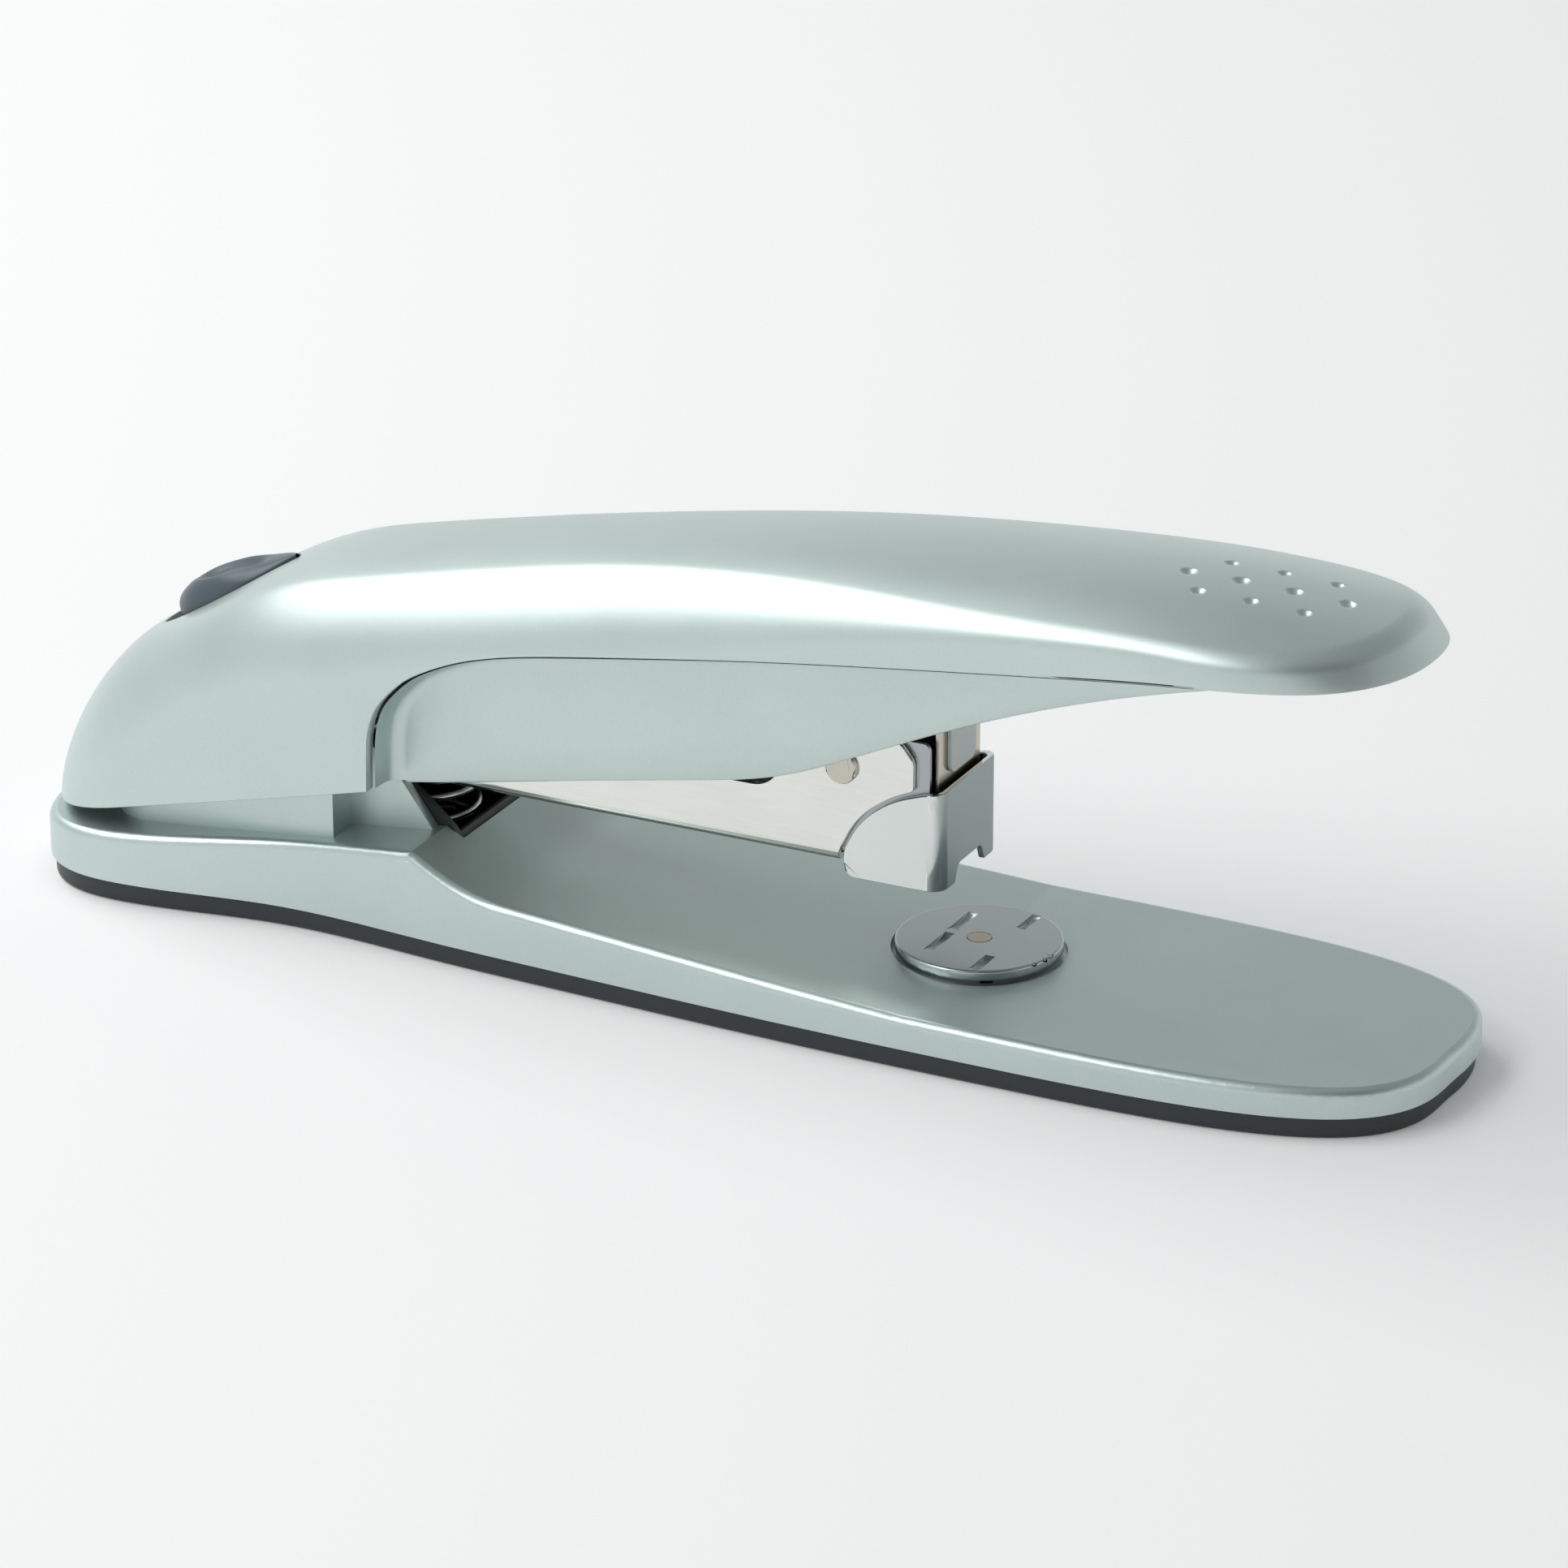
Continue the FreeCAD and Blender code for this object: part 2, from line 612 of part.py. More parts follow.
def make_drawer():
    body = channel(drawer_outer, drawer_sheet, drawer_bottom_z, 40, drawer_rear_x, cheek_front_x, 0.9)
    outline = [(drawer_rear_x, drawer_bottom_z, 0), (drawer_rear_x, drawer_wall_top_z, 1),
               (cheek_rear_x, drawer_wall_top_z, 2), (cheek_rear_x + 2.5, cheek_top_z, 2),
               (cheek_front_x, cheek_top_z, 1), (cheek_front_x, drawer_bottom_z, 0)]
    save(body.common(side_plate(outline, -12, 12)), "drawer_channel")

    core_rear_x = drawer_rear_x + 4.5
    core_front_x = cheek_front_x - 0.4
    core = block(core_rear_x, core_front_x, core_half_width, drawer_floor_z, core_top_z)
    core = core.cut(block(core_rear_x - 1, core_front_x - sheet, core_half_width - sheet,
                          drawer_floor_z - 1, core_top_z - sheet))
    core = core.cut(block(core_rear_x + 1.5, core_front_x - 2.4, 1.3, core_top_z - 2, core_top_z + 1))
    rod_hole = Part.makeCylinder(rod_radius + 0.03, 200, V(-100, 0, rod_z), V(1, 0, 0))
    save(core.cut(rod_hole), "staple_core")

    rod_rear_x = drawer_rear_x + 1
    rod = Part.makeCylinder(rod_radius, core_front_x - rod_rear_x, V(rod_rear_x, 0, rod_z), V(1, 0, 0))
    save(rod, "guide_rod")

    tail_half_width = drawer_inner - 0.05
    tail_outline = [(drawer_rear_x, drawer_floor_z, 0), (drawer_rear_x, core_top_z + 0.6, 0.5),
                    (drawer_rear_x + 2, core_top_z + 0.6, 0.5), (drawer_rear_x + 2, core_top_z - 1.3, 0),
                    (core_rear_x - 0.1, core_top_z - 1.3, 0.5), (core_rear_x - 0.1, drawer_floor_z, 0)]
    tail = side_plate(tail_outline, -tail_half_width, tail_half_width)
    tail = tail.cut(Part.makeCylinder(rod_radius + 0.03, 200, V(rod_rear_x, 0, rod_z), V(1, 0, 0)))
    low = [e for e in tail.Edges if e.BoundBox.ZMax < drawer_floor_z + 0.01 and e.BoundBox.XLength > 3]
    save(tail.makeChamfer(0.5, low), "drawer_tail")

    spring_start = core_rear_x
    spring_length = cheek_front_x - 11.5 - spring_start
    spring = coil(pusher_spring_radius, 0.28, spring_length, 4.4, (spring_start, 0, rod_z), (1, 0, 0))
    save(spring, "pusher_spring")


def make_nose_plate():
    outside = block(10, nose_front_x, nose_half_width, nose_bottom_z, nose_top_z)
    front = [e for e in outside.Edges if e.BoundBox.XMin > nose_front_x - 0.01 and e.BoundBox.ZLength > 5]
    outside = outside.makeFillet(2.0, front)
    inner_x = nose_front_x - sheet
    inside = block(9, inner_x, drawer_outer, nose_bottom_z - 1, nose_top_z + 1)
    front = [e for e in inside.Edges if e.BoundBox.XMin > inner_x - 0.01 and e.BoundBox.ZLength > 5]
    plate = outside.cut(inside.makeFillet(2.0 - nose_ear, front))
    edge = nose_edge(0)
    outline = [(17.6, nose_bottom_z, 1.4), edge[0], edge[1], edge[2], (28.1, 29.7, 8),
               (nose_front_x + 2, nose_top_z + 0.2, 0), (nose_front_x + 2, nose_bottom_z, 0)]
    plate = plate.common(side_plate(outline, -12, 12))
    notch_top = nose_bottom_z + 2.2
    wire = rounded_wire([(-4.6, nose_bottom_z - 1, 0), (-3.2, notch_top, 1.0), (3.2, notch_top, 1.0),
                         (4.6, nose_bottom_z - 1, 0)])
    wire.rotate(V(0, 0, 0), V(0, 0, 1), 90)
    notch = Part.Face(wire).extrude(V(6, 0, 0))
    notch.translate(V(nose_front_x - 3, 0, 0))
    save(plate.cut(notch), "nose_plate")


def make_pusher():
    front_x = cheek_front_x - 0.8
    rear_x = front_x - 13
    saddle = block(rear_x, front_x, pusher_half_width, drawer_floor_z + 0.3, core_top_z + 0.7)
    core_room = block(rear_x - 1, front_x + 1, core_half_width + 0.1, drawer_floor_z, core_top_z + 0.1)
    saddle = saddle.cut(core_room)
    neck = block(rear_x + 3, front_x - 3, 1.1, core_top_z - 2, core_top_z + 0.3)
    slider = block(rear_x + 3, front_x - 3, core_half_width - sheet - 0.3, drawer_floor_z + 0.5,
                   core_top_z - sheet - 0.2)
    pusher = saddle.fuse([neck, slider])
    hole = Part.makeCylinder(rod_radius + 0.08, 60, V(rear_x - 10, 0, rod_z), V(1, 0, 0))
    save(pusher.cut(hole), "staple_pusher")


# ---- driver ----

def make_driver():
    top_z = frame_web_z - 0.4
    blade = block(blade_x, blade_x + blade_thickness, blade_half_width, blade_bottom_z, top_z)
    save(blade, "driver_blade")
    tongue_front_x = blade_x + blade_thickness + 0.55
    tongue = block(blade_x + blade_thickness, tongue_front_x, tongue_half_width, tongue_bottom_z, top_z - 2)
    low = [e for e in tongue.Edges if e.BoundBox.XLength > 0.1 and e.BoundBox.ZLength < 0.01]
    save(tongue.makeFillet(1.4, low), "blade_tongue")


# ---- lever ----

def frame_z(x):
    """Height of the underside of the frame's web."""
    return frame_web_z + frame_slope * (x - blade_x)


def make_lever_frame():
    outline = [(pivot_x - 6, pivot_z - 6, 5.5), (pivot_x - 6, pivot_z + 6, 5.5),
               (pivot_x + 12, pivot_z + 9.5, 4),
               (frame_rear_x, frame_z(frame_rear_x) + sheet, 0),
               (frame_front_x, frame_z(frame_front_x) + sheet, 0),
               (frame_front_x, frame_z(frame_front_x) - 1.2, 0.8), (pivot_x + 22, pivot_z + 4.2, 6),
               (pivot_x + 8, pivot_z - 6, 5.5)]
    body = side_plate(outline, -frame_outer, frame_outer)
    hollow = [(pivot_x - 8, pivot_z - 8, 0), (pivot_x - 8, 60, 0), (frame_rear_x, 60, 0),
              (frame_rear_x, frame_z(frame_rear_x), 0), (frame_front_x + 1, frame_z(frame_front_x + 1), 0),
              (frame_front_x + 1, pivot_z - 8, 0)]
    body = body.cut(side_plate(hollow, -frame_inner, frame_inner))
    body = body.cut(cross_pin(pin_radius + fit_gap, pivot_x, pivot_z, 20))
    for x in lever_screw_places():
        body = body.cut(disc(1.6, x, 20, 60))
    save(body, "lever_frame")


def lever_screw_places():
    return [-31.0, 16.0]


def make_lever_screws():
    screws = []
    for x in lever_screw_places():
        top = frame_z(x)
        head = Part.makeCone(1.6, 2.7, 1.0, V(x, 0, top - 2.1)).fuse(disc(2.7, x, top - 1.1, top - 0.45))
        screws.append(head.fuse(disc(1.18, x, top - 0.5, top + 6)))
    save(Part.makeCompound(screws), "lever_screws")


def cover_section(x, top, half_width, shoulder, inset):
    """A closed section of the cover across X: flat sides, round shoulders, a crowned top."""
    half = half_width - inset
    radius = shoulder - inset * 0.6
    top = top - inset
    side_top = top - cover_crown - radius
    corner = radius * (1 - math.sqrt(0.5))
    points = {
        "foot": V(x, half, -5), "side": V(x, half, side_top),
        "corner": V(x, half - corner, top - cover_crown - corner),
        "edge": V(x, half - radius, top - cover_crown), "top": V(x, 0, top),
    }
    other = {name: V(p.x, -p.y, p.z) for name, p in points.items()}
    return Part.Wire([
        Part.LineSegment(points["foot"], points["side"]).toShape(),
        Part.Arc(points["side"], points["corner"], points["edge"]).toShape(),
        Part.Arc(points["edge"], points["top"], other["edge"]).toShape(),
        Part.Arc(other["edge"], other["corner"], other["side"]).toShape(),
        Part.LineSegment(other["side"], other["foot"]).toShape(),
        Part.LineSegment(other["foot"], points["foot"]).toShape()])


# The centre line of the cover's top: x, height, half-width of the cover, shoulder radius.
cover_stations = [
    (-tip_x - 2, 20.5, cover_rear_half_width, 7.0), (-88, 27.2, cover_rear_half_width, 7.0),
    (-76, 34.9, cover_rear_half_width, 7.0), (-63, 42.4, cover_rear_half_width - 0.1, 7.0),
    (-50, 46.5, cover_rear_half_width - 0.3, 7.0), (-30, 50.9, cover_half_width + 0.4, 7.0),
    (-7, 55.2, cover_half_width, 7.0), (20, 58.7, cover_half_width, 6.5),
    (50, 60.8, cover_half_width, 5.5), (72, 60.8, cover_half_width, 5.0), (94, 58.9, cover_half_width, 5.0)]


def cover_body(inset):
    sections = [cover_section(x, top, half, shoulder, inset) for x, top, half, shoulder in cover_stations]
    body = Part.makeLoft(sections, True, False)
    rear = -tip_x + 0.6 + inset
    tip = cover_tip_x - inset
    front_centre = cover_tip_x - cover_round
    outline = round_end(front_centre, cover_round - inset, cover_half_width + 0.4 - inset, 2.3, 8)
    outline += [(20, cover_half_width + 1 - inset), (-40, cover_rear_half_width + 1 - inset)]
    outline += round_end(rear + 14, -14, cover_rear_half_width + 0.2 - inset, 2.8, 5)[::-1]
    body = body.common(plan_prism(outline, -10, 80))
    rear_edge = [(rear - 0.3, 0), (rear, 8), (rear + 2.0, 18), (rear + 4.5, 24), (rear + 9, 31),
                 (rear + 14, 40)]
    front_edge = [(tip - 12, 70), (tip - 6.5, 61.5), (tip - 2.6, 58.2), (tip - 0.3, 55.2), (tip, 50)]
    profile = Part.Wire([curve(rear_edge), line(rear_edge[-1], (rear + 14, 70)),
                         line((rear + 14, 70), front_edge[0]), curve(front_edge),
                         line(front_edge[-1], (tip, 0)), line((tip, 0), rear_edge[0])])
    return body.common(side_prism(profile, -40, 40))


def cover_keep():
    """Everything above the cover's lower edge: the skirt, the step up and the long straight edge."""
    end_x = tip_x + 5
    skirt_end = (-43.1, 21.1)
    step = [skirt_end, (-42.7, 29.4), (-39.6, 34.8), (-35.0, 38.1), (-25.9, 41.5)]
    edge = [step[-1], (7.1, 47.1), (36, 50.9), (68.3, 54.3), (end_x, 54.7)]
    start = (-end_x, ledge_rear_z - 0.8)
    return side_prism(Part.Wire([line(start, skirt_end), curve(step), curve(edge),
                                 line(edge[-1], (end_x, 90)), line((end_x, 90), (-end_x, 90)),
                                 line((-end_x, 90), start)]), -40, 40)


def make_cover():
    outer = cover_body(0)
    shell = outer.cut(cover_body(cover_wall)).common(cover_keep())
    inside = cover_body(0.8)
    for x in lever_screw_places():
        boss = disc(3.0, x, frame_z(x) + sheet + 0.6, 70).common(inside)
        shell = shell.fuse(boss).cut(disc(1.2, x, 20, frame_z(x) + 6.5))
    slot = slope_block(-slot_half_length, slot_half_length, slot_half_width, -8, 8, slot_half_width - 0.5)
    save(shell.cut(slot), "lever_cover")


def make_side_panel():
    low = [(-42, 20.5), (-18, 25), (1, 28.6), (11, 31), (21, 35.2), (39, 43.2), (58, 49.9), (70, 52.8)]
    above_rear = (low[0][0], 80)
    above_front = (low[-1][0], 80)
    profile = Part.Wire([curve(low), line(low[-1], above_front), line(above_front, above_rear),
                         line(above_rear, low[0])])
    body = side_prism(profile, -panel_half_width, panel_half_width)
    outline = block(-42, panel_front_x, panel_half_width, 0, 90)
    upright = [e for e in outline.Edges if e.BoundBox.ZLength > 50 and e.BoundBox.XMin > panel_front_x - 1]
    outline = outline.makeFillet(7, upright)
    inner = block(-43, panel_front_x - panel_wall, panel_half_width - panel_wall, -1, 91)
    upright = [e for e in inner.Edges if e.BoundBox.ZLength > 50 and e.BoundBox.XMin > panel_front_x - 3]
    inner = inner.makeFillet(5, upright)
    body = body.common(outline.cut(inner)).common(cover_body(cover_wall + 0.15))
    save(body, "lever_side_panel")


# ---- button ----

def button_outline(grow, above0, above1):
    """The button's boat-shaped outline in its own plane, wider behind than in front."""
    rear = button_travel + button_gap - slot_half_length
    front = slot_half_length - button_gap
    half = slot_half_width - button_gap + grow
    middle = rear + 6.0
    points = [(front + grow, 0), (front - 1.2, half * 0.42), (front - 4.5, half * 0.8), (middle + 3, half)]
    points += round_end(middle, rear - grow - middle, half, 2.3, 4)[::-1]
    return plan_prism(points, above0, above1)


def make_button():
    body = button_outline(0, -2.8, button_height + 1)
    rear = button_travel + button_gap - slot_half_length
    front = slot_half_length - button_gap
    top = Part.Wire([curve([(rear - 1, 0.4), (rear + 2.5, 1.9), (1.2, button_height)]),
                     curve([(1.2, button_height), (4.5, 1.7), (front + 1, 0.5)]),
                     line((front + 1, 0.5), (front + 1, -4)), line((front + 1, -4), (rear - 1, -4)),
                     line((rear - 1, -4), (rear - 1, 0.4))])
    body = body.common(side_prism(top, -10, 10))
    flange = block(-13, 11, slot_half_width + 1.6, -3.7, -2.7)
    save(to_slope(body.fuse(flange)), "release_button")
    rod_rear_x = latch_x + 0.4 + 0.8
    rod = block(rod_rear_x, rod_rear_x + 1.6, latch_half_width, latch_z + 4.6, 45)
    rod = rod.cut(to_slope(block(-30, 30, 10, -3.72, 20)))
    save(rod, "button_push_rod")
    spring_start = rod_rear_x + 1.62
    spring_length = frame_rear_x - 0.05 - spring_start
    spring = coil(button_spring_radius, 0.25, spring_length, 1.9,
                  (spring_start, 0, frame_z(frame_rear_x) + 0.3), (1, 0, 0))
    save(spring, "button_spring")


os.makedirs("parts", exist_ok=True)
make_base_cover()
make_sole()
make_base_screws()
make_base_plate()
make_bracket()
make_pivot_pin()
make_spring_box()
make_anvil()
make_magazine()
make_latch()
make_drawer()
make_nose_plate()
make_pusher()
make_driver()
make_lever_frame()
make_lever_screws()
make_cover()
make_side_panel()
make_button()
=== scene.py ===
import math
import bmesh
import bpy
import numpy as np
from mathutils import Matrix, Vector


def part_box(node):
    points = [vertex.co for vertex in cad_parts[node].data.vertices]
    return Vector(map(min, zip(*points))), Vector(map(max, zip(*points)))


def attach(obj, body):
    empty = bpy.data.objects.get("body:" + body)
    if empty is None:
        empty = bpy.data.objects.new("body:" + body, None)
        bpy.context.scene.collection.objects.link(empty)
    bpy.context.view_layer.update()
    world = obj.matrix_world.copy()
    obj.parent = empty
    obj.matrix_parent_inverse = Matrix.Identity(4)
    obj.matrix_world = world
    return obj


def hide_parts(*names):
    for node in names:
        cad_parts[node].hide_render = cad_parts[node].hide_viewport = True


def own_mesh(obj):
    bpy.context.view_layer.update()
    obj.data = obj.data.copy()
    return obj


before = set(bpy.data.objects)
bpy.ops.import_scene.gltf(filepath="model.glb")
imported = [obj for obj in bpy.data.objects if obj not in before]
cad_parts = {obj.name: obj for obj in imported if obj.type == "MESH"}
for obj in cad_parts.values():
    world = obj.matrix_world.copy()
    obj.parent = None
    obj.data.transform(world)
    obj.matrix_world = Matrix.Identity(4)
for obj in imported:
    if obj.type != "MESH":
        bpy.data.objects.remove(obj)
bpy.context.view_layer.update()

MM = 0.001

# ---- Camera and studio ----
# The stapler stands on a pale sweep, seen from its side, a little from the nose and from above.
# A long soft light hangs over its near side, and the pale room gets dimmer higher up.
camera_data = bpy.data.cameras.new("camera")
camera = bpy.data.objects.new("camera", camera_data)
bpy.context.scene.collection.objects.link(camera)
bpy.context.scene.camera = camera
camera_target = Vector((5.09, 0.0, 23.98)) * MM
camera_azimuth = math.radians(26.34)
camera_elevation = math.radians(22.54)
camera_distance = 0.9194
camera_back = Vector((math.sin(camera_azimuth) * math.cos(camera_elevation),
                      -math.cos(camera_azimuth) * math.cos(camera_elevation),
                      math.sin(camera_elevation)))
camera.location = camera_target + camera_back * camera_distance
camera.rotation_mode = "QUATERNION"
camera.rotation_quaternion = (-camera_back).to_track_quat("-Z", "Y")
camera_data.sensor_width = 36.0
camera_data.lens = 171.4
camera_data.clip_start = 0.05
camera_data.clip_end = 20.0


def soft_light(name, place, aim, size, power):
    """A rectangular soft light at place that points at aim, all in metres."""
    data = bpy.data.lights.new(name, "AREA")
    data.shape = "RECTANGLE"
    data.size, data.size_y = size
    data.energy = power
    light = bpy.data.objects.new(name, data)
    light.location = place
    light.rotation_mode = "QUATERNION"
    light.rotation_quaternion = (Vector(aim) - Vector(place)).to_track_quat("-Z", "Y")
    bpy.context.scene.collection.objects.link(light)


soft_light("overhead_light", (-0.58, -0.15, 0.86), (-0.10, 0.0, 0.03), (1.8, 0.40), 9.2)

world = bpy.data.worlds.new("studio")
world.use_nodes = True
bpy.context.scene.world = world
room = world.node_tree


def room_node(kind, settings, links):
    """A node of the room's light, with its settings and its linked or constant inputs."""
    node = room.nodes.new(kind)
    for key, value in settings.items():
        setattr(node, key, value)
    for key, value in links.items():
        if isinstance(value, bpy.types.NodeSocket):
            room.links.new(value, node.inputs[key])
        else:
            node.inputs[key].default_value = value
    return node


def room_patch(towards, start, end):
    """0 to 1: how near a direction lies to the direction towards."""
    look = room_node("ShaderNodeTexCoord", {}, {}).outputs["Generated"]
    aim = tuple(Vector(towards).normalized())
    dot = room_node("ShaderNodeVectorMath", {"operation": "DOT_PRODUCT"}, {0: look, 1: aim}).outputs["Value"]
    return room_node("ShaderNodeMapRange", {"interpolation_type": "SMOOTHSTEP"},
                     {"Value": dot, "From Min": math.cos(start), "From Max": math.cos(end)}).outputs[0]


def room_mix(share, first, second):
    """A colour between two colours of the room."""
    return room_node("ShaderNodeMix", {"data_type": "RGBA"}, {0: share, 6: first, 7: second}).outputs[2]


wall_colour = (0.88, 0.91, 0.905, 1)
ceiling_colour = (0.25, 0.27, 0.27, 1)
doorway_colour = (0.05, 0.055, 0.06, 1)
room_look = room_node("ShaderNodeTexCoord", {}, {}).outputs["Generated"]
room_height = room_node("ShaderNodeSeparateXYZ", {}, {0: room_look}).outputs["Z"]
room_rise = room_node("ShaderNodeMapRange", {"interpolation_type": "SMOOTHSTEP"},
                      {"Value": room_height, "From Min": 0.0, "From Max": 0.75}).outputs[0]
room_walls = room_mix(room_rise, wall_colour, ceiling_colour)
doorway = room_patch((0.57, -0.52, 0.63), 0.62, 0.28)
room.links.new(room_mix(doorway, room_walls, doorway_colour), room.nodes["Background"].inputs["Color"])
room.nodes["Background"].inputs["Strength"].default_value = 1.0
bpy.context.scene.view_settings.view_transform = "Standard"

floor_mesh = bpy.data.meshes.new("floor")
floor_mesh.from_pydata([(-3, -3, 0), (3, -3, 0), (3, 3, 0), (-3, 3, 0)], [], [(0, 1, 2, 3)])
floor = bpy.data.objects.new("floor", floor_mesh)
bpy.context.scene.collection.objects.link(floor)
paper = bpy.data.materials.new("paper_sweep")
paper.use_nodes = True
for key, value in (("Base Color", (0.93, 0.93, 0.93, 1)), ("Roughness", 0.9), ("Specular IOR Level", 0.1),
                   ("Emission Color", (1.0, 1.0, 1.0, 1)), ("Emission Strength", 0.14)):
    paper.node_tree.nodes["Principled BSDF"].inputs[key].default_value = value
floor_mesh.materials.append(paper)


# ---- Lever cover ----
# The long top shell of the lever, moulded in plastic and sprayed with a satin silver metallic
# paint. Ten small thumb dimples sit near its nose, and the button slides in a slot at its rear.
class Value:
    """One output inside a material, so that shader maths is written as Python expressions."""

    def __init__(self, finish, socket):
        self.finish = finish
        self.socket = socket

    def math(self, operation, first, second=0.0):
        return self.finish.node("ShaderNodeMath", {"operation": operation}, {0: first, 1: second})

    def __add__(self, other):
        return self.math("ADD", self, other)

    def __radd__(self, other):
        return self.math("ADD", other, self)

    def __sub__(self, other):
        return self.math("SUBTRACT", self, other)

    def __rsub__(self, other):
        return self.math("SUBTRACT", other, self)

    def __mul__(self, other):
        return self.math("MULTIPLY", self, other)

    def __rmul__(self, other):
        return self.math("MULTIPLY", other, self)


class Finish:
    """A material with one principled surface. Constant inputs are given by name."""

    def __init__(self, name, **constants):
        self.material = bpy.data.materials.new(name)
        self.material.use_nodes = True
        self.tree = self.material.node_tree
        self.surface = self.tree.nodes["Principled BSDF"]
        for key, value in constants.items():
            self.feed(self.surface.inputs[key.replace("_", " ")], value)

    def feed(self, socket, value):
        if isinstance(value, Value):
            self.tree.links.new(value.socket, socket)
        elif isinstance(value, tuple) and len(value) == 3 and socket.type == "RGBA":
            socket.default_value = (*value, 1.0)
        else:
            socket.default_value = value

    def node(self, kind, settings=None, sockets=None, output=0):
        """Adds a node: its settings first, then the values or links of its sockets."""
        node = self.tree.nodes.new(kind)
        for key, value in (settings or {}).items():
            if key == "stops":
                ramp = node.color_ramp
                while len(ramp.elements) < len(value):
                    ramp.elements.new(0.5)
                for element, (position, grey) in zip(ramp.elements, value):
                    element.position = position
                    element.color = (grey, grey, grey, 1.0)
            else:
                setattr(node, key, value)
        for key, value in (sockets or {}).items():
            self.feed(node.inputs[key], value)
        return Value(self, node.outputs[output])

    def place(self):
        return self.node("ShaderNodeTexCoord", output=3)

    def noise(self, scale, detail=2.0, stretch=(1.0, 1.0, 1.0)):
        """Noise in the object's own metres; scale counts its grains in a metre."""
        spot = self.node("ShaderNodeMapping", {}, {"Vector": self.place(), "Scale": stretch})
        return self.node("ShaderNodeTexNoise", {}, {"Vector": spot, "Scale": scale, "Detail": detail})

    def mix(self, share, first, second):
        """A colour between two colours."""
        return self.node("ShaderNodeMix", {"data_type": "RGBA"}, {0: share, 6: first, 7: second}, output=2)

    def bump(self, height, strength, distance):
        """A fine relief: height times distance, in metres."""
        normal = self.node("ShaderNodeBump", {}, {"Height": height, "Strength": strength, "Distance": distance})
        self.feed(self.surface.inputs["Normal"], normal)

    def set(self, **inputs):
        for key, value in inputs.items():
            self.feed(self.surface.inputs[key.replace("_", " ")], value)


def silver_paint(name, light=1.0):
    """Satin silver metallic paint: fine bright flakes, faint clouds and a little orange peel."""
    paint = Finish(name, Metallic=0.82, Coat_Weight=0.12, Coat_Roughness=0.25)
    flakes = paint.noise(9000.0, 1.0)
    clouds = paint.noise(60.0, 3.0)
    deep = tuple(light * c for c in (0.51, 0.60, 0.58))
    bright = tuple(light * c for c in (0.66, 0.75, 0.73))
    share = flakes * 0.7 + clouds * 0.5 - 0.1
    paint.set(Base_Color=paint.mix(share, deep, bright), Roughness=0.33 + flakes * 0.08 + clouds * 0.04)
    paint.bump(flakes * 0.6 + paint.noise(1400.0, 2.0), 0.10, 0.00004)
    return paint


def smooth(points):
    """A natural cubic spline through (x, value) points, as a function of an array."""
    x, v = np.array(points, float).T
    n = len(x)
    h = np.diff(x)
    a = np.eye(n)
    b = np.zeros(n)
    for i in range(1, n - 1):
        a[i, i - 1:i + 2] = h[i - 1], 2 * (h[i - 1] + h[i]), h[i]
        b[i] = 6 * ((v[i + 1] - v[i]) / h[i] - (v[i] - v[i - 1]) / h[i - 1])
    m = np.linalg.solve(a, b)

    def value(q):
        q = np.asarray(q, float)
        i = np.clip(np.searchsorted(x, q) - 1, 0, n - 2)
        u, w = x[i + 1] - q, q - x[i]
        return ((m[i] * u ** 3 + m[i + 1] * w ** 3) / (6 * h[i]) + (v[i] / h[i] - m[i] * h[i] / 6) * u
                + (v[i + 1] / h[i] - m[i + 1] * h[i] / 6) * w)
    return value


def ease(q, start, end):
    """0 before start, 1 after end, smooth between."""
    t = np.clip((np.asarray(q, float) - start) / (end - start), 0, 1)
    return t * t * (3 - 2 * t)


def mesh_piece(name, vertices, faces, body, finish, stands_for=(), sharp=40.0):
    """A new piece from points in millimetres, welded, smooth except at edges of sharp degrees."""
    mesh = bpy.data.meshes.new(name)
    mesh.from_pydata([tuple(v) for v in np.asarray(vertices, float) * MM], [], [tuple(f) for f in faces])
    piece = bpy.data.objects.new(name, mesh)
    bpy.context.scene.collection.objects.link(piece)
    work = bmesh.new()
    work.from_mesh(mesh)
    bmesh.ops.remove_doubles(work, verts=work.verts, dist=0.000004)
    bmesh.ops.dissolve_degenerate(work, edges=work.edges, dist=0.000002)
    bmesh.ops.recalc_face_normals(work, faces=work.faces)
    for face in work.faces:
        face.smooth = True
    for edge in work.edges:
        edge.smooth = len(edge.link_faces) == 2 and edge.calc_face_angle(0.0) < math.radians(sharp)
    work.to_mesh(mesh)
    work.free()
    mesh.materials.append(finish.material)
    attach(piece, body)
    if stands_for:
        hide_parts(*stands_for)
    return piece


def strip(rows, columns):
    """Quads of a grid of rows by columns of points."""
    i, j = np.meshgrid(np.arange(rows - 1), np.arange(columns - 1), indexing="ij")
    a = (i * columns + j).ravel()
    return np.stack([a, a + 1, a + columns + 1, a + columns], 1)


def mirrored(points, faces):
    """The points and faces with their mirror image across Y = 0."""
    both = np.concatenate([points, points * (1, -1, 1)])
    return both, np.concatenate([faces, faces[:, ::-1] + len(points)])


